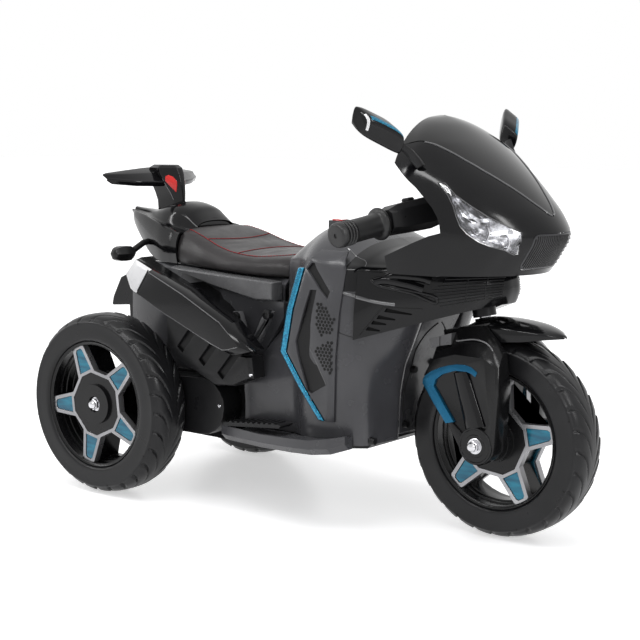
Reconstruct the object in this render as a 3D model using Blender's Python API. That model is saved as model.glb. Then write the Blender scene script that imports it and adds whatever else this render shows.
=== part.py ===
# Ride-on toy trike styled as a sports motorcycle.
# Two driven rear wheels on one fixed axle, one steered front wheel in a moulded fork.
# The pieces are laid out from the middle of the rear axle, on the ground:
# +X is forward, +Y is the rider's left, +Z is up. The frame empty then moves
# the whole toy so that the middle of its length and width is the origin.

import math

import bmesh
import bpy
from mathutils import Matrix, Vector

# Fits
GAP = 0.0003
WALL = 0.003
RIGHT = -1
LEFT = 1

# Wheels
WHEEL_RADIUS = 0.150
TYRE_WIDTH = 0.077
SHOULDER_RADIUS = 0.1385
SIDEWALL_INNER_RADIUS = 0.109
TYRE_BORE_RADIUS = 0.1056
WHEEL_STEPS = 40
WHEELBASE = 0.655
REAR_TRACK = 0.380
SPOKES = 5
SPOKE_TIP_RADIUS = 0.1048
STAR_FACE = 0.0305
STAR_DEPTH = 0.012
INSERT_STEP = 0.0015
INSERT_PLATE = 0.0027
REAR_STAR_ANGLE = 43.1
FRONT_STAR_ANGLE = 228.0
BARREL_WALL = 0.005
HUB_RADIUS = 0.033
HUB_STEPS = 24
HUB_FACE = 0.035
NUT_WELL_RADIUS = 0.0135
NUT_WELL_DEPTH = 0.0060
AXLE_RADIUS = 0.006
AXLE_STEPS = 12

# Steering
RAKE_DEG = 12.5
FORK_INNER = 0.046
FORK_OUTER = 0.085
FORK_BOSS_RADIUS = 0.030
CROWN_LOW = 0.158
CROWN_HIGH = 0.175
CROWN_FRONT = 0.028
CROWN_REAR = -0.045
STEM_RADIUS = 0.009
STEM_BOSS_RADIUS = 0.016
STEM_BOSS_TOP = 0.1830
COLLAR_RADIUS = 0.018
COLLAR_LOW = 0.1850
COLLAR_HIGH = 0.2070
HEAD_RADIUS = 0.023
HEAD_HIGH = 0.270
BAR_RADIUS = 0.0095
BAR_HEIGHT = 0.353
GRIP_RADIUS = 0.0175
GRIP_FLANGE_RADIUS = 0.0245
MUDGUARD_RADIUS = 0.180
MUDGUARD_HALF_WIDTH = 0.0445
MUDGUARD_WALL = 0.0025

# Chassis and body
BELLY_HEIGHT = 0.097
TUB_REAR = -0.055
TUB_FRONT = 0.236
TUB_HALF_WIDTH = 0.1015
TUB_WALL = 0.006
TUB_TOP = 0.2045
FLOOR_TOP = 0.1345
FLOOR_FRONT = 0.492
FLOOR_HALF_WIDTH = 0.118
GEARBOX_OUTER = 0.148
GEARBOX_REAR_RADIUS = 0.044
GEARBOX_FRONT_RADIUS = 0.047
GEARBOX_FRONT_X = 0.172
GEARBOX_FRONT_Z = 0.158
MOTOR_RADIUS = 0.018
MOTOR_INNER = 0.045
BATTERY_SIZE = (0.150, 0.065, 0.094)
BATTERY_X = 0.060
CREASE_X = 0.490
SHIELD_THICKNESS = 0.007
STRIP_WIDTH = 0.014

# Seat and tail
SEAT_REAR = 0.068
SEAT_HALF_WIDTH = 0.114
WING_HALF_SPAN = 0.112
FLAP_REACH = 0.1477
SILENCER_INNER = 0.152
SILENCER_OUTER = 0.196
COVER_OUTER = 0.168

# Foot controls and switches
PEDAL_REAR = 0.238
PEDAL_LENGTH = 0.112
PEDAL_INNER = 0.1370
PEDAL_WIDTH = 0.031
PEDAL_RIBS = 9
SWITCH_X = 0.360
SWITCH_Y = -0.030
SWITCH_LENGTH = 0.020
SWITCH_WIDTH = 0.014
BEZEL_TOP = 0.4645

# Fairing
FAIRING_REAR = 0.500
GRILLE_HALF_WIDTH = 0.052
GRILLE_LOW = 0.4085
GRILLE_HIGH = 0.4555

CENTRE_X = WHEELBASE / 2


def clear_bore(radius, steps):
    """Radius of a faceted bore whose flats keep the gap from a round shaft."""
    return (radius + GAP) / math.cos(math.pi / steps)


def material(name, color, roughness, metallic=0.0, alpha=1.0):
    mat = bpy.data.materials.new(name)
    mat.use_nodes = True
    shader = mat.node_tree.nodes["Principled BSDF"]
    shader.inputs["Base Color"].default_value = (*color, 1.0)
    shader.inputs["Roughness"].default_value = roughness
    shader.inputs["Metallic"].default_value = metallic
    shader.inputs["Alpha"].default_value = alpha
    mat.diffuse_color = (*color, alpha)
    return mat


def add_object(name, bm, mat, parent, origin=(0, 0, 0), sharp_deg=32):
    """Make an object from a mesh laid out in its parent's frame, turned about its origin."""
    bm.transform(Matrix.Translation(-Vector(origin)))
    mesh = bpy.data.meshes.new(name)
    bm.to_mesh(mesh)
    bm.free()
    mesh.shade_smooth()
    mesh.set_sharp_from_angle(angle=math.radians(sharp_deg))
    obj = bpy.data.objects.new(name, mesh)
    bpy.context.scene.collection.objects.link(obj)
    if mat:
        mesh.materials.append(mat)
    obj.parent = parent
    obj.location = origin
    return obj


def closed(bm):
    bmesh.ops.remove_doubles(bm, verts=bm.verts, dist=1e-6)
    bmesh.ops.recalc_face_normals(bm, faces=bm.faces)
    return bm


def loft(rings):
    """Closed solid through rings of equal point count, with flat ends."""
    bm = bmesh.new()
    rows = [[bm.verts.new(p) for p in ring] for ring in rings]
    count = len(rings[0])
    for low, high in zip(rows, rows[1:]):
        for i in range(count):
            j = (i + 1) % count
            bm.faces.new((low[i], low[j], high[j], high[i]))
    bm.faces.new(rows[0])
    bm.faces.new(rows[-1])
    return closed(bm)


def prism(outline, side, inner, outer):
    """Solid with an X-Z outline between two distances from the centre plane."""
    return loft([[(x, side * y, z) for x, z in outline] for y in (inner, outer)])


def box(low, high):
    corners = [(low[0], low[1]), (high[0], low[1]), (high[0], high[1]), (low[0], high[1])]
    return loft([[(x, y, z) for x, y in corners] for z in (low[2], high[2])])


def turned(profile, steps, axis="Y", phase=0.0):
    """Closed ring of (radius, along) points turned about an axis; radius 0 closes on the axis."""
    bm = bmesh.new()
    rows = []
    for k in range(steps):
        angle = phase + 2 * math.pi * k / steps
        c, s = math.cos(angle), math.sin(angle)
        if axis == "Y":
            rows.append([bm.verts.new((r * c, t, r * s)) for r, t in profile])
        else:
            rows.append([bm.verts.new((r * c, r * s, t)) for r, t in profile])
    count = len(profile)
    for k in range(steps):
        here, there = rows[k], rows[(k + 1) % steps]
        for i in range(count):
            j = (i + 1) % count
            if profile[i][0] == 0 and profile[j][0] == 0:
                continue
            bm.faces.new((here[i], here[j], there[j], there[i]))
    bmesh.ops.remove_doubles(bm, verts=bm.verts, dist=1e-6)
    bmesh.ops.dissolve_degenerate(bm, edges=bm.edges, dist=1e-7)
    return closed(bm)


def cylinder(radius, low, high, steps, axis="Y", phase=0.0):
    return turned([(0, low), (radius, low), (radius, high), (0, high)], steps, axis, phase)


def moved(bm, offset):
    bm.transform(Matrix.Translation(Vector(offset)))
    return bm


def sweep(points, radius, sides):
    """Round bar along points, with its rings square to the path."""
    path = [Vector(p) for p in points]
    rings = []
    for i, point in enumerate(path):
        before = path[max(i - 1, 0)]
        after = path[min(i + 1, len(path) - 1)]
        run = (after - before).normalized()
        side_axis = run.cross(Vector((0, 0, 1))).normalized()
        up_axis = side_axis.cross(run)
        ring = []
        for k in range(sides):
            angle = 2 * math.pi * k / sides
            ring.append(point + radius * (math.cos(angle) * side_axis + math.sin(angle) * up_axis))
        rings.append(ring)
    return loft(rings)


def skin(name, rows, wall, inside, mat, parent, merge_top=False):
    """Moulded shell: an open grid of points given a wall towards the point inside."""
    bm = bmesh.new()
    grid = [[bm.verts.new(p) for p in row] for row in rows]
    for low, high in zip(grid, grid[1:]):
        for i in range(len(low) - 1):
            bm.faces.new((low[i], low[i + 1], high[i + 1], high[i]))
    if merge_top:
        bmesh.ops.remove_doubles(bm, verts=bm.verts, dist=1e-6)
    bm.normal_update()
    outward = sum(f.normal.dot(f.calc_center_median() - Vector(inside)) for f in bm.faces)
    if outward < 0:
        bmesh.ops.reverse_faces(bm, faces=bm.faces)
    obj = add_object(name, bm, mat, parent)
    solid = obj.modifiers.new("wall", "SOLIDIFY")
    solid.thickness = wall
    solid.offset = -1.0
    solid.use_even_offset = True
    return obj


def boolean(obj, operation, tool_mesh, parent, name="tool"):
    """Cut, join or intersect an object with a hidden tool body in the same frame."""
    tool = add_object(f"{obj.name}_{name}", tool_mesh, None, parent)
    tool.hide_render = True
    tool.display_type = "WIRE"
    step = obj.modifiers.new(name, "BOOLEAN")
    step.operation = operation
    step.solver = "EXACT"
    step.object = tool
    return tool


def between(x, stations):
    """Value at x on a line through (x, value) stations."""
    if x <= stations[0][0]:
        return stations[0][1]
    for (x0, v0), (x1, v1) in zip(stations, stations[1:]):
        if x <= x1:
            return v0 + (v1 - v0) * (x - x0) / (x1 - x0)
    return stations[-1][1]


def bezier(p0, p1, p2, p3, steps):
    points = []
    for k in range(steps + 1):
        t = k / steps
        a, b, c, d = (1 - t) ** 3, 3 * t * (1 - t) ** 2, 3 * t * t * (1 - t), t ** 3
        points.append(tuple(a * q0 + b * q1 + c * q2 + d * q3 for q0, q1, q2, q3 in zip(p0, p1, p2, p3)))
    return points


for old in list(bpy.data.objects):
    bpy.data.objects.remove(old, do_unlink=True)

# Materials
GLOSS_BLACK = material("gloss black plastic", (0.012, 0.012, 0.014), 0.12)
MATT_BLACK = material("matt black plastic", (0.022, 0.022, 0.024), 0.5)
GREY_PLASTIC = material("grey plastic", (0.13, 0.13, 0.135), 0.45)
TYRE = material("tyre", (0.030, 0.030, 0.033), 0.65)
SILVER = material("silver paint", (0.42, 0.42, 0.45), 0.35, 0.6)
BLUE = material("blue trim", (0.02, 0.36, 0.62), 0.25, 0.2)
RED = material("red plastic", (0.75, 0.02, 0.02), 0.3)
CLEAR = material("clear lens", (0.86, 0.88, 0.90), 0.08)
DARK_SCREEN = material("smoked screen", (0.010, 0.010, 0.012), 0.06)
STEEL = material("zinc steel", (0.62, 0.62, 0.64), 0.3, 1.0)
LEATHER = material("seat leatherette", (0.030, 0.028, 0.028), 0.55)
RUBBER = material("grip rubber", (0.020, 0.020, 0.020), 0.7)
BATTERY_GREY = material("battery case", (0.08, 0.08, 0.09), 0.5)

# Frames
frame = bpy.data.objects.new("frame_origin", None)
bpy.context.scene.collection.objects.link(frame)
frame.location = (-CENTRE_X, 0, 0)

steering = bpy.data.objects.new("steering_axis", None)
bpy.context.scene.collection.objects.link(steering)
steering.parent = frame
steering.location = (WHEELBASE, 0, WHEEL_RADIUS)
steering.rotation_euler = (0, -math.radians(RAKE_DEG), 0)


# Wheels
def polar(radius, angle):
    return (radius * math.cos(angle), radius * math.sin(angle))


def star_outline(arm_points, turn):
    """X-Z outline with the same (along, across) points on each of the five arms."""
    outline = []
    for k in range(SPOKES):
        arm = math.radians(turn) + 2 * math.pi * k / SPOKES
        for along, across in arm_points:
            x = along * math.cos(arm) - across * math.sin(arm)
            z = along * math.sin(arm) + across * math.cos(arm)
            outline.append((x, z))
    return outline


def mirrored_arm(points):
    """Arm points from one side of the spoke, over the tip, to the other side."""
    return [(a, -b) for a, b in points] + [(a, b) for a, b in reversed(points)]


STAR_ARM = [(0.0520, 0.0205), (0.0970, 0.0135), (0.1030, 0.0095), (SPOKE_TIP_RADIUS, 0.0035)]
WINDOW_ARM = [(0.0570, 0.0140), (0.0930, 0.0080), (0.0965, 0.0050)]
HUB_HOLE_ARM = [(0.0520, 0.0115)]
SPOKE_ARM = [(0.0360, 0.0150), (0.0960, 0.0130), (0.1010, 0.0110)]


def shrunk(points, amount):
    """Arm points drawn in by a clearance towards the middle of the arm's own shape."""
    low = min(a for a, b in points)
    return [(a - amount if a > low else a + amount, b - amount) for a, b in points]


def wheel_turn(profile, steps, side, phase=0.0):
    return turned([(r, side * t) for r, t in profile], steps, "Y", phase)


def make_tyre(name, parent, centre):
    flat_phase = math.pi / WHEEL_STEPS
    reach = WHEEL_RADIUS / math.cos(flat_phase)
    half = TYRE_WIDTH / 2
    right_half = [
        (TYRE_BORE_RADIUS, half - 0.004),
        (SIDEWALL_INNER_RADIUS, half),
        (SHOULDER_RADIUS, half),
        (reach - 0.0040, half - 0.0075),
        (reach, half - 0.0225),
    ]
    profile = right_half + [(r, -t) for r, t in reversed(right_half)]
    bm = moved(turned(profile, WHEEL_STEPS, "Y", flat_phase), centre)
    return add_object(name, bm, TYRE, parent, centre)


def make_rim(name, parent, centre, side, turn, hub_inner, two_faces):
    half = TYRE_WIDTH / 2 - 0.005
    barrel_out = TYRE_BORE_RADIUS * math.cos(math.pi / WHEEL_STEPS) - GAP
    phase = math.pi / WHEEL_STEPS
    barrel_in = barrel_out - BARREL_WALL
    barrel = [(barrel_in, -half), (barrel_out, -half), (barrel_out, half), (barrel_in, half)]
    bm = moved(turned(barrel, WHEEL_STEPS, "Y", phase), centre)
    rim = add_object(name, bm, MATT_BLACK, parent, centre)
    seat_depth = STAR_FACE - STAR_DEPTH - GAP
    tips = star_outline(mirrored_arm(shrunk(STAR_ARM, -GAP)), turn)
    for face in (side, -side) if two_faces else (side,):
        seats = moved(prism(tips, face, seat_depth, 0.1), centre)
        boolean(rim, "DIFFERENCE", seats, parent, "tip_seats" if face == side else "far_tip_seats")
    spoke_out = seat_depth - INSERT_PLATE - GAP
    spoke_in = -spoke_out if two_faces else -0.025
    spokes = prism(star_outline(mirrored_arm(SPOKE_ARM), turn), side, spoke_in, spoke_out)
    boolean(rim, "UNION", moved(spokes, centre), parent, "spokes")
    hub_sides = star_outline(mirrored_arm([(HUB_HOLE_ARM[0][0] - GAP, HUB_HOLE_ARM[0][1] - GAP)]), turn)
    plate_high = STAR_FACE - 0.0008
    plate_low = -plate_high if two_faces else spoke_in + 0.004
    boolean(rim, "UNION", moved(prism(hub_sides, side, plate_low, plate_high), centre), parent, "hub_plate")
    hub_low = -hub_inner if two_faces else hub_inner
    hub_high = hub_inner if two_faces else HUB_FACE
    boss = cylinder(HUB_RADIUS, *sorted((side * hub_low, side * hub_high)), HUB_STEPS)
    boolean(rim, "UNION", moved(boss, centre), parent, "hub")
    bore = clear_bore(AXLE_RADIUS, AXLE_STEPS)
    if two_faces:
        bore_profile = [(0, -0.1), (bore, -0.1), (bore, 0.1), (0, 0.1)]
    else:
        well = HUB_FACE - NUT_WELL_DEPTH
        bore_profile = [(0, -0.1), (bore, -0.1), (bore, well), (NUT_WELL_RADIUS, well),
                        (NUT_WELL_RADIUS, 0.1), (0, 0.1)]
    boolean(rim, "DIFFERENCE", moved(wheel_turn(bore_profile, AXLE_STEPS, side), centre), parent, "bore")
    return rim


def make_star(name, parent, centre, side, turn):
    back = STAR_FACE - STAR_DEPTH
    bm = moved(prism(star_outline(mirrored_arm(STAR_ARM), turn), side, back, STAR_FACE), centre)
    star = add_object(name, bm, SILVER, parent, centre)
    hole = prism(star_outline(mirrored_arm(HUB_HOLE_ARM), turn), side, 0, 0.1)
    boolean(star, "DIFFERENCE", moved(hole, centre), parent, "hub_hole")
    for k in range(SPOKES):
        arm = mirrored_arm(WINDOW_ARM)
        window = single_arm(arm, turn + 360 * k / SPOKES)
        boolean(star, "DIFFERENCE", moved(prism(window, side, 0, 0.1), centre), parent, f"window_{k}")
    return star


def single_arm(points, angle_deg):
    arm = math.radians(angle_deg)
    c, s = math.cos(arm), math.sin(arm)
    return [(a * c - b * s, a * s + b * c) for a, b in points]


def make_inserts(name, parent, centre, side, turn):
    """Five blue pads on one thin star plate behind the silver trim."""
    front = STAR_FACE - STAR_DEPTH - GAP
    back = front - INSERT_PLATE
    plate_arm = [(0.0520, 0.0180), (0.0970, 0.0100)]
    bm = moved(prism(star_outline(mirrored_arm(plate_arm), turn), side, back, front), centre)
    plate = add_object(name, bm, BLUE, parent, centre)
    pad = mirrored_arm(shrunk(WINDOW_ARM, GAP))
    for k in range(SPOKES):
        shape = prism(single_arm(pad, turn + 360 * k / SPOKES), side, back + 0.001, STAR_FACE - INSERT_STEP)
        boolean(plate, "UNION", moved(shape, centre), parent, f"pad_{k}")
    hole = prism(star_outline(mirrored_arm(HUB_HOLE_ARM), turn), side, 0, 0.1)
    boolean(plate, "DIFFERENCE", moved(hole, centre), parent, "hub_hole")
    return plate


HUB_INNER = -0.0355
for side, word in ((RIGHT, "right"), (LEFT, "left")):
    rear_centre = (0, side * REAR_TRACK / 2, WHEEL_RADIUS)
    make_tyre(f"rear_tyre_{word}", frame, rear_centre)
    make_rim(f"rear_rim_{word}", frame, rear_centre, side, REAR_STAR_ANGLE, HUB_INNER, False)
    make_star(f"rear_star_{word}", frame, rear_centre, side, REAR_STAR_ANGLE)
    make_inserts(f"rear_inserts_{word}", frame, rear_centre, side, REAR_STAR_ANGLE)

front_centre = (WHEELBASE, 0, WHEEL_RADIUS)
make_tyre("front_tyre", frame, front_centre)
make_rim("front_rim", frame, front_centre, RIGHT, FRONT_STAR_ANGLE, FORK_INNER - GAP, True)
for side, word in ((RIGHT, "right"), (LEFT, "left")):
    make_star(f"front_star_{word}", frame, front_centre, side, FRONT_STAR_ANGLE)
    make_inserts(f"front_inserts_{word}", frame, front_centre, side, FRONT_STAR_ANGLE)

# Axles: a plain bar with a washer and a domed nut at each end
def axle_profile(face):
    half = [
        (AXLE_RADIUS, face),
        (0.0120, face),
        (0.0120, face + 0.0015),
        (0.0095, face + 0.0015),
        (0.0095, face + 0.0085),
        (0.0060, face + 0.0125),
        (0, face + 0.0140),
    ]
    return [(r, -t) for r, t in reversed(half)] + half


REAR_NUT_SEAT = REAR_TRACK / 2 + HUB_FACE - NUT_WELL_DEPTH + GAP
add_object("rear_axle", moved(turned(axle_profile(REAR_NUT_SEAT), AXLE_STEPS), (0, 0, WHEEL_RADIUS)),
           STEEL, frame, (0, 0, WHEEL_RADIUS))
FRONT_NUT_SEAT = FORK_OUTER + GAP
add_object("front_axle", moved(turned(axle_profile(FRONT_NUT_SEAT), AXLE_STEPS), front_centre),
           STEEL, frame, front_centre)

# Chassis tray: a rear tub for the battery and a front floor under the body
tub_outline = [
    (TUB_REAR, BELLY_HEIGHT + 0.016), (TUB_REAR + 0.025, BELLY_HEIGHT), (0.205, BELLY_HEIGHT),
    (TUB_FRONT, BELLY_HEIGHT + 0.003), (TUB_FRONT, TUB_TOP), (TUB_REAR, TUB_TOP),
]
tray = add_object("chassis_tray", prism(tub_outline, 1, -TUB_HALF_WIDTH, TUB_HALF_WIDTH), MATT_BLACK, frame)
floor_outline = [
    (TUB_FRONT - 0.004, BELLY_HEIGHT + 0.003), (0.360, 0.110), (0.484, 0.127),
    (FLOOR_FRONT, FLOOR_TOP), (TUB_FRONT - 0.004, FLOOR_TOP),
]
boolean(tray, "UNION", prism(floor_outline, 1, -FLOOR_HALF_WIDTH, FLOOR_HALF_WIDTH), frame, "floor")
pocket = box((TUB_REAR + TUB_WALL, -TUB_HALF_WIDTH + TUB_WALL, BELLY_HEIGHT + TUB_WALL),
             (TUB_FRONT - TUB_WALL, TUB_HALF_WIDTH - TUB_WALL, TUB_TOP + 0.05))
boolean(tray, "DIFFERENCE", pocket, frame, "pocket")
axle_hole = cylinder(clear_bore(AXLE_RADIUS, AXLE_STEPS), -0.2, 0.2, AXLE_STEPS)
boolean(tray, "DIFFERENCE", moved(axle_hole, (0, 0, WHEEL_RADIUS)), frame, "axle_hole")
motor_hole = cylinder(clear_bore(MOTOR_RADIUS, 20), -0.2, 0.2, 20)
boolean(tray, "DIFFERENCE", moved(motor_hole, (GEARBOX_FRONT_X, 0, GEARBOX_FRONT_Z)), frame, "motor_hole")

battery_low = (BATTERY_X, -BATTERY_SIZE[1] / 2, BELLY_HEIGHT + TUB_WALL + GAP)
battery_high = (BATTERY_X + BATTERY_SIZE[0], BATTERY_SIZE[1] / 2, battery_low[2] + BATTERY_SIZE[2])
add_object("battery", box(battery_low, battery_high), BATTERY_GREY, frame)

# Gearboxes: a long case from the axle to the motor, bolted outside the tub
def hull_of_two_circles(c0, r0, c1, r1, steps):
    """Outline round two circles, taken as two half circles and the straight runs between."""
    points = []
    for k in range(steps + 1):
        angle = math.pi / 2 + math.pi * k / steps
        points.append((c0[0] + r0 * math.cos(angle), c0[1] + r0 * math.sin(angle)))
    for k in range(steps + 1):
        angle = -math.pi / 2 + math.pi * k / steps
        points.append((c1[0] + r1 * math.cos(angle), c1[1] + r1 * math.sin(angle)))
    return points


for side, word in ((RIGHT, "right"), (LEFT, "left")):
    case = hull_of_two_circles((0, WHEEL_RADIUS), GEARBOX_REAR_RADIUS,
                               (GEARBOX_FRONT_X, GEARBOX_FRONT_Z), GEARBOX_FRONT_RADIUS, 10)
    gearbox = add_object(f"gearbox_{word}", prism(case, side, TUB_HALF_WIDTH + GAP, GEARBOX_OUTER),
                         MATT_BLACK, frame)
    hub_gap_face = REAR_TRACK / 2 + HUB_INNER - GAP
    drive = wheel_turn([(0, 0.140), (0.026, 0.140), (0.026, hub_gap_face), (0, hub_gap_face)], 20, side)
    boolean(gearbox, "UNION", moved(drive, (0, 0, WHEEL_RADIUS)), frame, "drive_boss")
    motor = cylinder(MOTOR_RADIUS, *sorted((side * MOTOR_INNER, side * 0.12)), 20)
    boolean(gearbox, "UNION", moved(motor, (GEARBOX_FRONT_X, 0, GEARBOX_FRONT_Z)), frame, "motor")
    hole = wheel_turn([(0, 0.05), (clear_bore(AXLE_RADIUS, AXLE_STEPS), 0.05),
                       (clear_bore(AXLE_RADIUS, AXLE_STEPS), 0.2), (0, 0.2)], AXLE_STEPS, side)
    boolean(gearbox, "DIFFERENCE", moved(hole, (0, 0, WHEEL_RADIUS)), frame, "axle_hole")

# Body shells: two mirrored halves that meet on the centre plane
TOP_LINE = [(0.306, 0.417), (0.318, 0.434), (0.336, 0.450), (0.356, 0.460), (0.385, 0.463),
            (0.408, 0.461), (0.430, 0.453), (0.465, 0.436), (0.500, 0.427), (0.566, 0.424)]
SIDE_WIDTH = [(0.135, 0.147), (0.160, 0.150), (0.270, 0.157), (0.340, 0.155), (0.400, 0.146)]
REAR_EDGE = [(0.135, 0.242), (0.210, 0.244), (0.270, 0.285), (0.300, 0.3035), (0.400, 0.3060)]
FRONT_EDGE = [(0.135, 0.500), (0.200, 0.502), (0.250, 0.512), (0.300, 0.532), (0.340, 0.546), (0.400, 0.562)]
WELL_EDGE = [(0.135, 0.489), (0.200, 0.490), (0.250, 0.499), (0.300, 0.521), (0.340, 0.541), (0.400, 0.562)]
WELL_HALF_WIDTH = 0.054
BODY_LEVELS = [0.135, 0.170, 0.210, 0.250, 0.270, 0.300, 0.340, 0.370, 0.400]
SHOULDER = [(0.30, 0.131), (0.55, 0.112), (0.76, 0.088), (0.90, 0.062), (0.975, 0.033), (1.0, GAP / 2)]


def knee_width(z):
    """Half widths of the waist behind the leg shield: at the seat and at mid waist."""
    at_seat = between(z, [(0.135, 0.122), (0.220, 0.124), (0.290, 0.108), (0.340, 0.097)])
    at_middle = between(z, [(0.135, 0.127), (0.220, 0.130), (0.290, 0.124), (0.400, 0.112)])
    return at_seat, at_middle


def body_row(z, side):
    rear, front, well = between(z, REAR_EDGE), between(z, FRONT_EDGE), between(z, WELL_EDGE)
    full = between(z, SIDE_WIDTH)
    at_seat, at_middle = knee_width(z)
    plan = [
        (well, GAP / 2), (well, WELL_HALF_WIDTH), (front, WELL_HALF_WIDTH + 0.005), (front - 0.004, 0.095),
        (CREASE_X, full - 0.012), (CREASE_X - 0.014, full), (0.410, full), (0.378, full - 0.006),
        (0.346, at_middle), (rear + 0.012, at_seat), (rear, at_seat - 0.014), (rear, GAP / 2),
    ]
    return [(x, side * y, z) for x, y in plan]


def body_top_row(share, width, side):
    """Row of the tank top, at a share of the rise to the top line, drawn in to a half width."""
    base = body_row(BODY_LEVELS[-1], 1)
    widest = max(y for x, y, z in base)
    row = []
    for x, y, z in base:
        drawn = max(GAP / 2, y * width / widest)
        rise = between(x, TOP_LINE) - BODY_LEVELS[-1]
        row.append((x, side * drawn, BODY_LEVELS[-1] + share * rise))
    return row


for side, word in ((RIGHT, "right"), (LEFT, "left")):
    rows = [body_row(z, side) for z in BODY_LEVELS]
    rows += [body_top_row(share, width, side) for share, width in SHOULDER]
    skin(f"body_shell_{word}", rows, WALL, (0.40, side * 0.04, 0.28), GREY_PLASTIC, frame)

# Front bulkhead: the panel behind the front wheel, with the steering head on it
BULKHEAD_HALF_WIDTH = WELL_HALF_WIDTH - 0.004
BULKHEAD_THICKNESS = 0.0055
rings = []
for z in [0.140] + BODY_LEVELS[1:-1] + [0.398]:
    back = between(z, WELL_EDGE) + GAP + 0.0002
    front = back + BULKHEAD_THICKNESS
    corners = [(back, -1), (back, 1), (front, 1), (front, -1)]
    rings.append([(x, sign * BULKHEAD_HALF_WIDTH, z) for x, sign in corners])
bulkhead = add_object("front_bulkhead", loft(rings), MATT_BLACK, frame)
head_tilt = Matrix.Translation(Vector(front_centre)) @ Matrix.Rotation(-math.radians(RAKE_DEG), 4, "Y")


def steering_solid(bm):
    """Carry a solid from the steering axis frame into the toy's frame."""
    bm.transform(head_tilt)
    return bm


gusset = prism([(0.5480, 0.350), (0.606, 0.362), (0.600, 0.392), (0.5620, 0.392)], 1, -0.012, 0.012)
boolean(bulkhead, "UNION", gusset, frame, "gusset")
head = steering_solid(cylinder(HEAD_RADIUS, COLLAR_HIGH + GAP, HEAD_HIGH, 20, "Z"))
boolean(bulkhead, "UNION", head, frame, "head")
head_bore = steering_solid(cylinder(clear_bore(STEM_RADIUS, 20), 0.15, 0.40, 20, "Z", math.pi / 20))
boolean(bulkhead, "DIFFERENCE", head_bore, frame, "bore")

collar_bore = clear_bore(STEM_RADIUS, 20)
collar_ring = [(collar_bore, COLLAR_LOW), (COLLAR_RADIUS, COLLAR_LOW), (COLLAR_RADIUS, COLLAR_HIGH),
               (collar_bore, COLLAR_HIGH)]
add_object("steering_collar", turned(collar_ring, 20, "Z"), STEEL, steering)

# Chin cover: the prow over the front wheel, closed underneath by a flange
CHIN_REAR = 0.482
CHIN_PLAN = [(0.520, 0.1390), (0.560, 0.119), (0.600, 0.092), (0.636, 0.056), (0.655, 0.029),
             (0.662, 0.016), (0.663, 0.0)]
CHIN_SHELF = [(CHIN_REAR + 0.0015, 0.1420), (0.514, 0.126), (0.552, 0.109), (0.584, 0.075), (0.612, 0.048),
              (0.630, 0.028), (0.634, 0.014), (0.635, 0.0)]
CHIN_TOP = 0.4005
CHIN_LIP = [(CHIN_REAR, 0.0034), (0.505, 0.0050), (0.530, 0.0120)]


def both_sides(half):
    """Row of points over the right side, the nose, and back along the left side."""
    return [(x, -y, z) for x, y, z in half] + [(x, y, z) for x, y, z in reversed(half[:-1])]


def chin_low(x):
    return between(x, [(CHIN_REAR, 0.2985), (0.650, 0.3520), (0.663, 0.3540)])


def chin_row(height_share, inset, lip_share=0.0):
    rear_z = chin_low(CHIN_REAR) + height_share * (CHIN_TOP - chin_low(CHIN_REAR))
    half = []
    for x, y in [(CHIN_REAR, between(rear_z, SIDE_WIDTH) + 0.0004)] + CHIN_PLAN:
        z = chin_low(x) + height_share * (CHIN_TOP - chin_low(x))
        drawn = inset * (x > CHIN_REAR) + lip_share * between(x, CHIN_LIP)
        half.append((CHIN_REAR + (x - CHIN_REAR) * (1 - drawn / 0.18), y * (1 - drawn / 0.14), z))
    return both_sides(half)


rows = [both_sides([(x, y, CHIN_TOP) for x, y in CHIN_SHELF]), chin_row(1.0, 0.004), chin_row(0.75, 0.0),
        chin_row(0.42, -0.002), chin_row(0.15, 0.001), chin_row(0.0, 0.004), chin_row(0.0, 0.004, 1.0)]
skin("chin_cover", rows, WALL, (0.58, 0, 0.37), MATT_BLACK, frame)

# Leg shields with the blue accent strips along their rear edge
SHIELD_LEVELS = [0.168, 0.215, 0.269, 0.335, 0.400, 0.415, 0.427]
STRIP_EDGE = [(0.168, 0.417), (0.215, 0.381), (0.269, 0.346), (0.335, 0.357), (0.400, 0.3715)]
SHIELD_FRONT = [(0.168, 0.446), (0.300, 0.454), (0.400, 0.462), (0.427, 0.451)]
SHIELD_WIDTH = [(0.168, 0.1505), (0.270, 0.1573), (0.340, 0.1553), (0.400, 0.1463), (0.415, 0.1395),
                (0.427, 0.1260)]


def shield_x(z):
    return between(z, STRIP_EDGE + [(0.415, 0.378), (0.427, 0.386)])


for side, word in ((RIGHT, "right"), (LEFT, "left")):
    rings = []
    for z in SHIELD_LEVELS:
        rear, front = shield_x(z) + STRIP_WIDTH + 0.0009, between(z, SHIELD_FRONT)
        inner = between(z, SHIELD_WIDTH) + GAP
        outer = inner + SHIELD_THICKNESS
        rings.append([(rear, side * inner, z), (front, side * inner, z), (front, side * (outer - 0.004), z),
                      (front - 0.008, side * outer, z), (rear + 0.002, side * outer, z)])
    add_object(f"leg_shield_{word}", loft(rings), GREY_PLASTIC, frame)
    rings = []
    for z in SHIELD_LEVELS[:5]:
        rear = shield_x(z)
        inner = between(z, SHIELD_WIDTH) + GAP
        rings.append([(rear, side * (inner + 0.0010), z), (rear + STRIP_WIDTH, side * inner, z),
                      (rear + STRIP_WIDTH, side * (inner + SHIELD_THICKNESS + 0.0015), z),
                      (rear + 0.003, side * (inner + SHIELD_THICKNESS + 0.0015), z)])
    add_object(f"accent_strip_{word}", loft(rings), BLUE, frame)

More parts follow.
